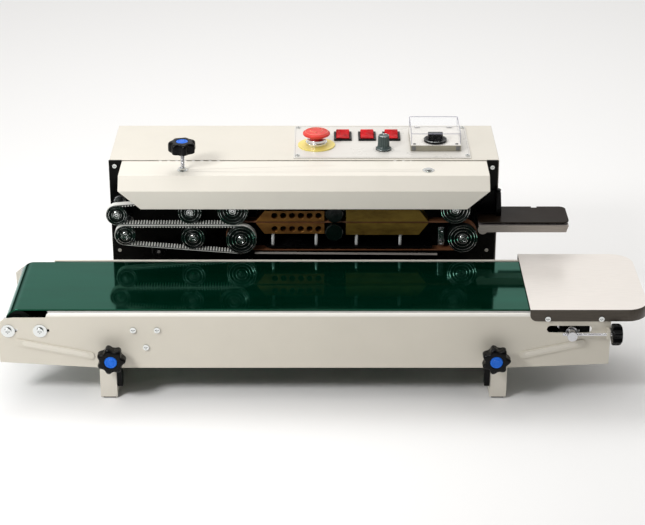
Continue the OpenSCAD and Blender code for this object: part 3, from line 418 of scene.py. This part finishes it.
# Edge rounding in millimetres on the CAD nodes that stay
SOFT_EDGES = {
    "housing_shell": 0.9, "rear_cover": 0.5, "guard_cover": 0.5, "control_plate": 0.3,
    "support_arm_left": 0.6, "support_arm_right": 0.6, "front_panel": 0.5, "rear_panel": 0.4,
    "worktable": 0.5, "upper_infeed_guide": 0.3, "lower_infeed_guide": 0.3, "guide_bracket": 0.5,
    "upper_heater_block": 0.4, "lower_heater_block": 0.4, "upper_cooling_block": 0.4,
    "lower_cooling_block": 0.4, "controller_body": 0.7, "rocker_bezels": 0.5, "foot_pads": 0.6,
    "conveyor_screws": 0.3, "housing_screws": 0.3, "block_studs": 0.3, "main_plate": 0.3,
    "tension_block": 0.3, "gearmotor": 1.0, "power_inlet": 0.4, "fan_frame": 0.5,
    "slide_bars": 0.4, "estop_base": 0.4, "temperature_dial": 0.4,
}


def paint_nodes():
    """Gives every CAD node its material; the panel gets a painted highlight along its top edge, the tension
    block painted shade on its inside.
    """
    panel_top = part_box("front_panel")[1].z
    # Painted highlight: a lighter band along the front panel's top edge stands in for the rolled edge
    # catching the light.
    recolour_beyond("cream_panel_painted_shade", "Z", panel_top - 4.5 * MM, panel_top - 2.25 * MM, (0.88, 0.855, 0.80))
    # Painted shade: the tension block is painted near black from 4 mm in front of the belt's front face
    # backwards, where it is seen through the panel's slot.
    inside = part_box("conveyor_belt")[0].y - 4 * MM
    recolour_beyond("block_zinc_inside_shade", "Y", inside, inside + 0.3 * MM, (0.004, 0.004, 0.004))
    for paint, names in NODE_PAINT.items():
        for name in names:
            mesh = nodes[name].data
            mesh.materials.clear()
            mesh.materials.append(PAINT[paint])


def soften_edges():
    for name, width in SOFT_EDGES.items():
        obj = nodes[name]
        weld = obj.modifiers.new("weld", "WELD")
        weld.merge_threshold = 1e-6
        edge = obj.modifiers.new("soft_edges", "BEVEL")
        edge.width = width * MM
        edge.segments = 2
        edge.limit_method = "ANGLE"
        edge.angle_limit = math.radians(35)
        edge.use_clamp_overlap = True
        edge.harden_normals = True


# ---- Mesh tools ----

def mm(x, y, z):
    return Vector((x, y, z)) * MM


def centre(node):
    low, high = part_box(node)
    return (low + high) / 2


def along(origin, axis):
    """Matrix that puts Z along axis, from origin."""
    return Matrix.Translation(origin) @ axis.to_track_quat("Z", "Y").to_matrix().to_4x4()


def loft(bm, rings, closed=False):
    """Skin between rings of points, capped at both ends; a ring of one point is a pole."""
    made = [[bm.verts.new(p) for p in ring] for ring in rings]
    pairs = list(zip(made, made[1:]))
    if closed:
        pairs.append((made[-1], made[0]))
    for a, b in pairs:
        for i in range(max(len(a), len(b))):
            corners = [a[i % len(a)], a[(i + 1) % len(a)], b[(i + 1) % len(b)], b[i % len(b)]]
            distinct = list(dict.fromkeys(corners))
            if len(distinct) > 2:
                bm.faces.new(distinct)
    if not closed:
        for ring in (made[0], made[-1]):
            if len(ring) > 2:
                bm.faces.new(ring)


def turned(bm, place, profile, sides=64, lobes=0):
    """Solid about Z from (radius, height) pairs; a third value pulls the radius in between lobes."""
    rings = []
    for radius, height, *pull in profile:
        if radius == 0:
            rings.append([place @ mm(0, 0, height)])
            continue
        depth = pull[0] if pull else 0.0
        ring = []
        for i in range(sides):
            a = 2 * math.pi * i / sides
            r = radius * (1 - depth * (0.5 - 0.5 * math.cos(lobes * a)))
            ring.append(place @ mm(r * math.cos(a), r * math.sin(a), height))
        rings.append(ring)
    loft(bm, rings)


def bead(bm, place, radius, height, thick):
    """Round bead about Z, like a turned ridge."""
    sides = 72
    rings = []
    for i in range(sides):
        a = 2 * math.pi * i / sides
        ring = []
        for k in range(8):
            b = 2 * math.pi * k / 8
            r = radius + thick * math.cos(b)
            ring.append(place @ mm(r * math.cos(a), r * math.sin(a), height + thick * math.sin(b)))
        rings.append(ring)
    loft(bm, rings, closed=True)


def sweep(bm, path, radius, sides=8, closed=False):
    """Round rod along a path, in metres."""
    rings = []
    normal = Vector((0.31, 0.47, 0.83))  # Any direction that no path follows
    count = len(path)
    for i, p in enumerate(path):
        before = path[i - 1] if closed or i else p
        after = path[(i + 1) % count] if closed or i + 1 < count else p
        ahead = (after - before).normalized()
        normal = (normal - ahead * normal.dot(ahead)).normalized()
        side = ahead.cross(normal)
        angles = [2 * math.pi * k / sides for k in range(sides)]
        rings.append([p + (normal * math.cos(a) + side * math.sin(a)) * radius for a in angles])
    loft(bm, rings, closed)


def rounded_rect(x0, x1, y0, y1, r, z, steps=5):
    """Ring of points round a rectangle with corner radius r, all in metres."""
    points = []
    corners = ((x1 - r, y1 - r, 0), (x0 + r, y1 - r, 90), (x0 + r, y0 + r, 180), (x1 - r, y0 + r, 270))
    for cx, cy, start in corners:
        for i in range(steps + 1):
            a = math.radians(start + 90 * i / steps)
            points.append(Vector((cx + r * math.cos(a), cy + r * math.sin(a), z)))
    return points


def soft_box(bm, low, high, r, place=Matrix.Identity(4)):
    """Box with rounded upright corners and eased top and bottom edges, in metres."""
    e = r * 0.5
    rings = []
    for inset, z in ((e, low.z), (e * 0.3, low.z + e * 0.3), (0, low.z + e), (0, high.z - e),
                     (e * 0.3, high.z - e * 0.3), (e, high.z)):
        ring = rounded_rect(low.x + inset, high.x - inset, low.y + inset, high.y - inset, r, z, 4)
        rings.append([place @ p for p in ring])
    loft(bm, rings)


def add_piece(name, bm, paint, body, angle=35):
    """Makes the mesh a piece of a body; edges sharper than angle (in degrees) stay sharp."""
    bmesh.ops.recalc_face_normals(bm, faces=bm.faces)
    mesh = bpy.data.meshes.new(name)
    bm.to_mesh(mesh)
    bm.free()
    mesh.materials.append(PAINT[paint])
    mesh.shade_smooth()
    mesh.set_sharp_from_angle(angle=math.radians(angle))
    obj = bpy.data.objects.new(name, mesh)
    bpy.context.scene.collection.objects.link(obj)
    flat = obj.modifiers.new("flat_faces", "WEIGHTED_NORMAL")
    flat.keep_sharp = True
    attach(obj, body)
    return obj


def plate_face():
    """Y of the main plate's front face; the plate is 3 mm thick."""
    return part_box("main_plate")[1].y - 3 * MM


def threaded(low, high, r, pitch=1.25):
    """Profile of a threaded rod between two heights."""
    points = [(0, low), (r * 0.8, low)]
    turns = int((high - low - 1) / pitch)
    for i in range(turns):
        z = low + 0.5 + i * pitch
        points += [(r, z), (r, z + pitch * 0.3), (r * 0.86, z + pitch * 0.65)]
    return points + [(r, high - 0.4), (r * 0.8, high), (0, high)]


# ---- Star knobs ----

def star_knob(name, node, place, r, h, cap_r, boss, cap="blue_cap"):
    """Seven-lobed grip with a pressed-in cap, in place of a node; boss is the profile below the grip."""
    bm = bmesh.new()
    grip = boss + [(r * 0.60, 0, 0.0), (r * 0.88, 0, 0.12), (r * 0.965, 0.8, 0.20), (r, 2.4, 0.23),
                   (r, h - 5.5, 0.23), (r * 0.985, h - 3.6, 0.22), (r * 0.93, h - 2.0, 0.19),
                   (r * 0.84, h - 0.9, 0.13), (r * 0.72, h - 0.35, 0.05), (cap_r + 1.4, h - 0.1),
                   (cap_r + 0.5, h - 0.3), (cap_r + 0.35, h - 2.4), (0, h - 2.4)]
    turned(bm, place, grip, 140, 7)
    piece = add_piece(name + "_grip", bm, "black_plastic", node, 40)
    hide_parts(node)
    bm = bmesh.new()
    turned(bm, place, [(0, h - 2.5), (cap_r, h - 2.5), (cap_r, h - 1.1), (cap_r - 0.5, h - 0.5),
                       (cap_r - 1.3, h - 0.3), (cap_r * 0.66, h - 0.3), (cap_r * 0.62, h - 0.7),
                       (cap_r * 0.56, h - 0.7), (cap_r * 0.50, h - 0.25), (0, h - 0.1)], 64)
    add_piece(name + "_cap", bm, cap, node)


def clamp_knobs():
    grip = 16
    boss = [(0, -11.7), (8.4, -11.7), (9, -11.1), (9, -1.2), (9.6, -0.3)]
    for side in ("left", "right"):
        node = "clamp_knob_" + side
        low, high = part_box(node)
        middle = (low + high) / 2
        place = along(Vector((middle.x, low.y + grip * MM, middle.z)), FRONT)
        star_knob("clamp_" + side, node, place, 19, grip, 8.2, boss)
        bm = bmesh.new()
        turned(bm, place, threaded(-21.2, -11, 4), 32)
        add_piece("clamp_bolt_" + side, bm, "zinc", node)


def pressure_screw():
    low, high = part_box("pressure_knob")
    middle = (low + high) / 2
    grip = 15.5
    place = along(Vector((middle.x, middle.y, high.z - grip * MM)), UP)
    boss = [(0, -4), (6.2, -4), (7, -3.3), (7.4, -0.4)]
    star_knob("pressure", "pressure_knob", place, 19, grip, 8.2, boss)
    bm = bmesh.new()
    turned(bm, place, threaded(-48, -3.5, 2.8, 1.0), 32)
    add_piece("pressure_stud", bm, "polished", "pressure_knob")


def tension_screw():
    low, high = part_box("tension_knob")
    middle = (low + high) / 2
    grip = 13.4
    place = along(Vector((high.x - grip * MM, middle.y, middle.z)), RIGHT)
    star_knob("tension", "tension_knob", place, 14.5, grip, 5, [(0, 0)], "black_plastic")
    bm = bmesh.new()
    turned(bm, place, threaded((low.x - high.x) / MM + grip, 0.6, 2.3), 24)
    add_piece("tension_rod", bm, "polished", "tension_knob")


# ---- Wheels, bands and blocks ----

# Radius of each kind of wheel's front flange, in millimetres, and of its turned ridges
FACES = {
    "drive": (20.6, (19.6, 16.9, 12.4, 7.8)),
    "idler": (20.4, (19.4, 16.2, 11.6, 7.2)),
    "guide": (14.1, (13.2, 10.6, 6.6)),
    "press": (16.0, (15.2, 11.7, 7.0)),
}


def wheel_faces():
    """Front flange, hub bolt and turned ridges on every wheel."""
    for level in ("lower", "upper"):
        for kind, (r, ridges) in FACES.items():
            body = level + "_" + kind
            node = body + ("_pulley" if kind == "guide" else "_wheel")
            hub = Vector(joints[body + "_spin"]["pos_m"])
            hub.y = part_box(node)[0].y + 1.4 * MM
            place = along(hub, FRONT)
            bm = bmesh.new()
            turned(bm, place, [(0, -0.55), (r, -0.55), (r, -0.15), (r - 0.4, 0.1), (r * 0.8, 0.1),
                               (r * 0.76, -0.3), (r * 0.62, -0.4), (r * 0.58, 0.05), (0, 0.05)], 96)
            add_piece(body + "_flange", bm, "dark_wheel", body, 30)
            bm = bmesh.new()
            turned(bm, place, [(0, 0.02), (5.0, 0.02), (5.0, 0.4), (4.6, 0.7), (0, 0.7)], 48)
            bolt = [(0, 0.7), (3.6, 0.7), (3.6, 2.2), (3.1, 2.7), (2.0, 2.8), (1.8, 1.5), (0, 1.3)]
            turned(bm, place, bolt, 6)
            for i, radius in enumerate(ridges):
                bead(bm, place, radius, 0.0, 0.50 if i % 2 else 0.34)
            add_piece(body + "_face", bm, "ring_steel", body, 30)


def toothed_belts():
    """White toothed belts: a pale back, a root painted near black as painted shade, and ridges across the
    inside.
    """
    for level in ("lower", "upper"):
        guide, drive = (Vector(joints[f"{level}_{kind}_spin"]["pos_m"]) for kind in ("guide", "drive"))
        node = level + "_toothed_belt"
        low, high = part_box(node)
        small = guide.x - low.x
        large = high.x - drive.x
        run = drive - guide
        tilt = math.atan2(run.z, run.x)
        lean = math.asin((large - small) / math.hypot(run.x, run.z))
        stretches = []
        for side in (1, -1):
            normal = tilt + side * (math.pi / 2 + lean)
            out = Vector((math.cos(normal), 0, math.sin(normal)))
            stretches.append((guide + out * small, drive + out * large, out))
        route = belt_route(stretches, guide, drive, small, large)
        # The root layer, under the pale back and between the teeth, is painted near black: painted shade on a
        # white belt.
        for name, paint, outer, inner in (("_back", "tooth", 0, 0.6), ("_root", "belt_root_shade", 0.6, 1.8)):
            corners = ((outer, low.y), (outer, high.y), (inner, high.y), (inner, low.y))
            rings = []
            for p, out in route:
                section = [(p - out * depth * MM, y) for depth, y in corners]
                rings.append([Vector((q.x, y, q.z)) for q, y in section])
            bm = bmesh.new()
            loft(bm, rings, closed=True)
            piece = add_piece(node + name, bm, paint, "root", 40)
            if name == "_back":
                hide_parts(node)
        bm = bmesh.new()
        for start, end, out in stretches:
            add_teeth(bm, start, end, out, low.y, high.y)
        add_piece(node + "_teeth", bm, "tooth", "root", 40)


def belt_route(stretches, guide, drive, small, large):
    """Points and outward directions round two pulleys, in order."""
    (a0, a1, out_a), (b0, b1, out_b) = stretches
    route = [(a0, out_a), (a1, out_a)]
    steps = 28
    for hub, r, first, last in ((drive, large, out_a, out_b), (guide, small, out_b, out_a)):
        start = math.atan2(first.z, first.x)
        turn = (math.atan2(last.z, last.x) - start) % (2 * math.pi) - 2 * math.pi
        for i in range(1, steps):
            a = start + turn * i / steps
            out = Vector((math.cos(a), 0, math.sin(a)))
            route.append((hub + out * r, out))
        if hub is drive:
            route += [(b1, out_b), (b0, out_b)]
    return route


def add_teeth(bm, start, end, out, y0, y1):
    """Row of teeth across the inside of one straight stretch of belt."""
    pitch = 3.8 * MM
    ahead = (end - start).normalized()
    count = int((end - start).length / pitch)
    for i in range(count):
        p = start.lerp(end, (i + 0.5) / count)
        p.y = 0
        place = Matrix.Translation(p) @ Matrix((ahead, BACK, out)).transposed().to_4x4()
        ring = [(-1.0, -1.7), (1.0, -1.7), (0.6, -3.25), (-0.6, -3.25)]
        loft(bm, [[place @ (mm(a, 0, h) + BACK * y) for a, h in ring] for y in (y0, y1)])


def stud_springs():
    """Compression springs round the studs over the upper blocks."""
    low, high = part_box("block_studs")
    block_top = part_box("upper_heater_block")[1].z
    stud_y = (low.y + high.y) / 2
    stud_r, coil_r, wire_r = 2.3 * MM, 4.1 * MM, 0.55 * MM
    turns, steps = 6.5, 20
    left, right = low.x + stud_r, high.x - stud_r
    rise = high.z - block_top - 4 * MM
    for i, part in enumerate((0.0, 0.3404, 0.6573, 1.0)):
        x = left + (right - left) * part
        bm = bmesh.new()
        path = []
        for k in range(int(turns * steps) + 1):
            t = k / (turns * steps)
            a = 2 * math.pi * turns * t
            path.append(Vector((x + coil_r * math.cos(a), stud_y + coil_r * math.sin(a),
                                block_top + 2.2 * MM + rise * t)))
        sweep(bm, path, wire_r)
        add_piece(f"stud_spring_{i + 1}", bm, "polished", "root", 60)


def idler_adjuster():
    """Steel plate with two bolts, beside the lower idler wheel."""
    hub = Vector(joints["lower_idler_spin"]["pos_m"])
    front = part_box("lower_heater_block")[0].y + 8 * MM
    back = plate_face()
    low = Vector((hub.x - 33 * MM, front, hub.z - 16.5 * MM))
    high = Vector((hub.x - 24 * MM, front + 3 * MM, hub.z + 11 * MM))
    bm = bmesh.new()
    soft_box(bm, low, high, 1.2 * MM)
    soft_box(bm, Vector((low.x + 2 * MM, front + 2.5 * MM, low.z + 8 * MM)),
             Vector((high.x - 2 * MM, back, high.z - 8 * MM)), 1.0 * MM)
    for z in (low.z + 5 * MM, high.z - 5 * MM):
        place = along(Vector(((low.x + high.x) / 2, front, z)), FRONT)
        turned(bm, place, [(0, 0), (3.4, 0), (3.4, 1.6), (2.9, 2.3), (1.6, 2.4), (1.4, 1.4), (0, 1.2)], 40)
    add_piece("idler_adjuster", bm, "zinc", "root")


def band_guard():
    """Thin strip under the lower sealing band, held from the main plate by two tabs."""
    plate_front = plate_face()
    hub = Vector(joints["lower_drive_spin"]["pos_m"])
    far = Vector(joints["lower_idler_spin"]["pos_m"])
    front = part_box("lower_heater_block")[0].y - 3 * MM
    bm = bmesh.new()
    wide, thick = 4 * MM, 1.3 * MM
    corners = ((front, 0), (front + wide, 0), (front + wide, thick), (front, thick))
    ends = ((hub.x + 18 * MM, hub.z - 24.2 * MM), (far.x - 34 * MM, far.z - 26.2 * MM))
    loft(bm, [[Vector((x, y, z + h)) for y, h in corners] for x, z in ends])
    add_piece("band_guard", bm, "strip", "root")
    bm = bmesh.new()
    for x, z in ((hub.x + 40 * MM, hub.z - 24.3 * MM), (far.x - 60 * MM, far.z - 26.0 * MM)):
        soft_box(bm, Vector((x, front + 3.5 * MM, z)),
                 Vector((x + 6 * MM, plate_front, z + 1.2 * MM)), 0.5 * MM)
    add_piece("band_guard_tabs", bm, "black", "root")


def belt_eccentric():
    """Dark adjusting wheel on the main plate, under the toothed belts."""
    plate_front = plate_face()
    guide = Vector(joints["lower_guide_spin"]["pos_m"])
    hub = Vector((guide.x + 41 * MM, plate_front, guide.z - 42 * MM))
    place = along(hub, FRONT)
    bm = bmesh.new()
    turned(bm, place, [(0, 0.1), (4, 0.1), (4, 4), (9.4, 4.4), (10, 5), (10, 10), (9.2, 10.8),
                       (5, 11), (4.4, 12.4), (2, 12.6), (1.8, 11.6), (0, 11.6)], 72)
    add_piece("belt_eccentric", bm, "black_plastic", "root")
    bm = bmesh.new()
    turned(bm, place, [(0, 11.7), (2.6, 11.7), (2.6, 13.2), (2.1, 13.6), (0, 13.6)], 6)
    add_piece("belt_eccentric_screw", bm, "zinc", "root")


# ---- Conveyor ----

def conveyor_belt():
    """Endless belt with rounded edges, round both rollers."""
    low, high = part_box("conveyor_belt")
    left = Vector(joints["conveyor_drive_spin"]["pos_m"])
    right = Vector(joints["tension_roller_spin"]["pos_m"])
    outer = (high.z - low.z) / 2
    half = 1.0 * MM  # Half the belt's thickness
    edge = 0.55 * MM
    route = []
    steps = 40
    for centre_x, start in ((left.x, 90), (right.x, -90)):
        for i in range(steps + 1):
            a = math.radians(start + 180 * i / steps)
            route.append((centre_x, Vector((math.cos(a), 0, math.sin(a)))))
    rings = []
    for centre_x, out in route:
        ring = []
        for y, side in ((high.y, 1), (low.y, -1)):
            for offset, inset in ((half * side, edge), (half * side - edge * 0.3 * side, edge * 0.3),
                                  ((half - edge) * side, 0), (-(half - edge) * side, 0),
                                  (-half * side + edge * 0.3 * side, edge * 0.3), (-half * side, edge)):
                p = Vector((centre_x, y - inset * side, left.z))
                ring.append(p + out * (outer - half + offset))
        rings.append(ring)
    bm = bmesh.new()
    loft(bm, rings, closed=True)
    piece = add_piece("conveyor_belt_skin", bm, "green_belt", "conveyor", 50)
    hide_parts("conveyor_belt")


def rib_crests():
    """Rounded crests on the front panel's pressed ribs."""
    panel_face = -170.2 * MM
    half_width, steps = 3.6 * MM, 8
    bm = bmesh.new()
    for (x0, z0), (x1, z1) in (((-392, 84), (-302, 65)), ((260, 66), (332, 83))):
        a, b = mm(x0, 0, z0), mm(x1, 0, z1)
        ahead = (b - a).normalized()
        across = ahead.cross(BACK)
        rings = []
        for i in range(-steps, steps + 1):
            t = i / steps
            p = a.lerp(b, 0.5 + 0.5 * t)
            end = min(1.0, (1 - abs(t)) * 9 + 0.25)
            ring = []
            for k in range(9):
                c = math.pi * k / 8
                height = (1.0 + 1.3 * end * math.sin(c)) * MM
                sideways = across * (half_width * end * math.cos(c))
                ring.append(p + sideways + Vector((0, panel_face - height, 0)))
            rings.append(ring)
        loft(bm, rings)
    add_piece("rib_crests", bm, "cream", "conveyor", 60)


def slot_painted_shade():
    """Black plate inside the front panel, behind the right end of the tension block's slot: painted shade
    where the slot would show the floor through it.
    """
    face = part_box("conveyor_belt")[0].y - 6 * MM
    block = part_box("tension_block")[1]
    bm = bmesh.new()
    soft_box(bm, Vector((block.x + 0.5 * MM, face + 3.2 * MM, 95 * MM)),
             Vector((block.x + 14 * MM, face + 4.4 * MM, 110 * MM)), 0.5 * MM)
    add_piece("slot_painted_shade", bm, "slot_shade", "conveyor")


# ---- Controls ----

def emergency_stop():
    """Steel collar round the button, and the arrows and raised ring on it."""
    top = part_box("control_plate")[1].z
    middle = centre("estop_base")
    place = along(Vector((middle.x, middle.y, top)), UP)
    bm = bmesh.new()
    knurled = [(13.2, 1.7), (15.05, 1.7), (15.2, 2.0), (15.2, 5.9, 0.03), (15.0, 6.2, 0.03), (13.2, 6.3)]
    turned(bm, place, knurled, 180, 45)
    neck = [(12.0, 6.4), (13.1, 6.4), (13.2, 6.6), (13.2, 9.9), (13.0, 10.2), (12.0, 10.2)]
    turned(bm, place, neck, 96)
    add_piece("estop_collar", bm, "polished", "root")
    button_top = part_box("estop_button")[1].z
    place = along(Vector((middle.x, middle.y, button_top)), UP)
    bm = bmesh.new()
    bead(bm, place, 15.6, -1.7, 0.35)
    arrow_r, depth = 8.6, -0.45

    def on_arrow(a):
        return place @ mm(arrow_r * math.cos(a), arrow_r * math.sin(a), depth)

    for start in (0, 120, 240):
        sweep(bm, [on_arrow(math.radians(start + i * 5.5)) for i in range(15)], 0.55 * MM)
        tip = math.radians(start + 78)
        barb = along(on_arrow(tip), Vector((-math.sin(tip), math.cos(tip), 0)))
        turned(bm, barb, [(0, -1.6), (1.5, -1.6), (0, 2.4)], 24)
    add_piece("estop_arrows", bm, "red_mark", "estop_button")


def rocker_switches():
    """Red rockers, dished along their length and ribbed on both slopes; at rest they tilt 9 degrees."""
    half_l = 12.3
    for name in ("drive", "fan", "heat"):
        node = "rocker_" + name
        low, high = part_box(node)
        pivot = Vector(joints[node + "_tilt"]["pos_m"])
        tilt = Matrix.Translation(pivot) @ Matrix.Rotation(math.radians(9), 4, "X")
        half_w = (high.x - low.x) / 2 / MM
        bm = bmesh.new()
        rings = []
        for x, drop, pull in ((-half_w, 1.1, 0.5), (-half_w + 0.3, 0.4, 0.1), (-half_w + 1.1, 0, 0),
                              (half_w - 1.1, 0, 0), (half_w - 0.3, 0.4, 0.1), (half_w, 1.1, 0.5)):
            ring = []
            for i in range(61):
                y = half_l - 2 * half_l * i / 60
                rise = 2.9 + 2.6 * (abs(y) / half_l) ** 1.25
                ribs = 0.28 * (0.5 + 0.5 * math.cos(2 * math.pi * y / 2.05)) if 2 < abs(y) < 10.6 else 0
                ring.append(tilt @ mm(x, y * (1 - pull / 12), rise + ribs - drop))
            ring += [tilt @ mm(x, side * half_l * (1 - pull / 12), -1) for side in (-1, 1)]
            rings.append(ring)
        loft(bm, rings)
        piece = add_piece(node + "_lens", bm, "rocker_red", node, 50)
        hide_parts(node)


def speed_control():
    """Fluted speed knob with its skirt, ring, pointer and a plain scale of tick marks."""
    low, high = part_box("speed_knob")
    plate_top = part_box("control_plate")[1].z
    middle = (low + high) / 2
    place = along(Vector((middle.x, middle.y, plate_top)), UP)
    h = (high.z - plate_top) / MM
    bm = bmesh.new()
    turned(bm, place, [(0, 0.7), (9.0, 0.7), (11.2, 1.1), (11.2, 1.7), (10.7, 2.3), (9.2, 3.4),
                       (8.5, 5.2), (8.2, 5.6, 0.10), (7.7, h - 2.0, 0.12), (7.4, h - 0.8, 0.08),
                       (6.8, h - 0.2), (5.6, h), (5.2, h - 0.5), (0, h - 0.4)], 144, 18)
    piece = add_piece("speed_knob_grip", bm, "knob_grey", "speed_knob", 40)
    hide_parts("speed_knob")
    bm = bmesh.new()
    turned(bm, place, [(0, 0.1), (8.6, 0.1), (8.6, 0.8), (0, 0.8)], 96)
    add_piece("speed_knob_foot", bm, "black_plastic", "speed_knob")
    bm = bmesh.new()
    bead(bm, place, 10.9, 2.05, 0.22)
    bead(bm, place, 7.0, h - 0.35, 0.22)
    add_piece("speed_knob_ring", bm, "ring_steel", "speed_knob")
    bm = bmesh.new()
    soft_box(bm, mm(-0.45, -5.0, h - 0.35), mm(0.45, -0.6, h - 0.05), 0.2 * MM, place)
    add_piece("speed_knob_pointer", bm, "plate", "speed_knob")
    bm = bmesh.new()
    for i in range(11):
        a = math.radians(225 - 27 * i)
        spin = place @ Matrix.Rotation(a, 4, "Z")
        soft_box(bm, mm(12.6, -0.22, 0.01), mm(15.0, 0.22, 0.16), 0.1 * MM, spin)
    add_piece("speed_scale", bm, "mark", "root")


def controller():
    """Clear lid with grey edge rods as painted shade and reflection, its hinge pins, and the controller's
    screws, clips and scale.
    """
    low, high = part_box("controller_lid")
    body_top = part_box("controller_body")[1].z
    t = 1.5 * MM  # Thickness of the lid
    r = 2.6 * MM
    bm = bmesh.new()

    def ring(inset, z, radius):
        return rounded_rect(low.x + inset, high.x - inset, low.y + inset, high.y - inset, radius, z)

    loft(bm, [ring(1.6 * MM, high.z, r), ring(0.5 * MM, high.z - 0.4 * MM, r), ring(0, high.z - 1.4 * MM, r),
              ring(0, low.z + 0.4 * MM, r), ring(0.3 * MM, low.z, r), ring(t, low.z, r - t * 0.8),
              ring(t, high.z - t - 1 * MM, r - t * 0.8), ring(t + 0.8 * MM, high.z - t, r - t * 0.8)])
    piece = add_piece("controller_lid_shell", bm, "clear", "controller_lid", 50)
    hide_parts("controller_lid")
    # Grey rods along the lid's edges: painted shade and reflection standing in for the light the clear edges
    # bend.
    bm = bmesh.new()
    sweep(bm, ring(0.9 * MM, high.z - 0.75 * MM, r), 0.5 * MM, closed=True)
    for x in (low.x + 1.1 * MM, high.x - 1.1 * MM):
        for y in (low.y + 1.1 * MM, high.y - 1.1 * MM):
            sweep(bm, [Vector((x, y, low.z + 0.6 * MM)), Vector((x, y, high.z - 1.2 * MM))], 0.45 * MM)
    add_piece("controller_lid_edges", bm, "clear_edge_painted_light", "controller_lid")
    bm = bmesh.new()
    for x in (low.x + 12 * MM, high.x - 12 * MM):
        barrel = along(Vector((x - 4 * MM, high.y - 1.2 * MM, low.z + 1.0 * MM)), RIGHT)
        turned(bm, barrel, [(0, 0), (0.9, 0), (0.9, 8), (0, 8)], 24)
    add_piece("lid_hinge_pins", bm, "zinc", "controller_lid")
    bm = bmesh.new()
    for x in (low.x + 5.5 * MM, high.x - 5.5 * MM):
        place = along(Vector((x, low.y + 6 * MM, body_top)), UP)
        turned(bm, place, [(0, 0), (2.3, 0), (2.2, 0.28), (0.9, 0.36), (0.8, 0.1), (0, 0.1)], 40)
    add_piece("controller_screws", bm, "dark_screw", "root")
    bm = bmesh.new()
    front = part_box("controller_body")[0].y
    for x0, x1 in ((low.x + 1.5 * MM, low.x + 7 * MM), (high.x - 7 * MM, high.x - 1.5 * MM)):
        soft_box(bm, Vector((x0, front - 0.5 * MM, body_top - 7.2 * MM)),
                 Vector((x1, front + 1 * MM, body_top - 1.2 * MM)), 0.25 * MM)
    add_piece("controller_clips", bm, "mark", "root")
    temperature_scale(body_top)


def temperature_scale(body_top):
    """Silver ring and tick marks round the dial, and its raised pointer."""
    middle = centre("temperature_dial")
    place = along(Vector((middle.x, middle.y, body_top)), UP)
    bm = bmesh.new()
    scale_r = 17.4
    for i in range(21):
        a = math.radians(240 - 15 * i)
        long = 3.4 if i % 5 == 0 else 2.0
        spin = place @ Matrix.Rotation(a, 4, "Z")
        soft_box(bm, mm(scale_r, -0.2, 0.01), mm(scale_r + long, 0.2, 0.14), 0.09 * MM, spin)
    add_piece("temperature_scale", bm, "mark", "root")
    disc_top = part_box("temperature_dial")[1].z - 8.5 * MM
    place = along(Vector((middle.x, middle.y, disc_top)), UP)
    bm = bmesh.new()
    bead(bm, place, 15.3, -0.05, 0.22)
    add_piece("dial_rim", bm, "ring_steel", "temperature_dial")
    bm = bmesh.new()
    soft_box(bm, mm(-0.5, -15, 0.02), mm(0.5, -11, 0.3), 0.2 * MM, place)
    add_piece("dial_pointer", bm, "plate", "temperature_dial")


def plate_border():
    """Thin printed line just inside the control plate's edge."""
    low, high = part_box("control_plate")
    inset = 2.2 * MM
    ring = rounded_rect(low.x + inset, high.x - inset, low.y + inset, high.y - inset, 1.5 * MM,
                        high.z + 0.02 * MM)
    bm = bmesh.new()
    sweep(bm, ring, 0.16 * MM, 4, closed=True)
    add_piece("plate_border", bm, "mark", "root")


make_camera()
make_studio()
paint_nodes()
soften_edges()
clamp_knobs()
pressure_screw()
tension_screw()
wheel_faces()
toothed_belts()
stud_springs()
idler_adjuster()
band_guard()
belt_eccentric()
conveyor_belt()
rib_crests()
slot_painted_shade()
emergency_stop()
rocker_switches()
speed_control()
controller()
plate_border()
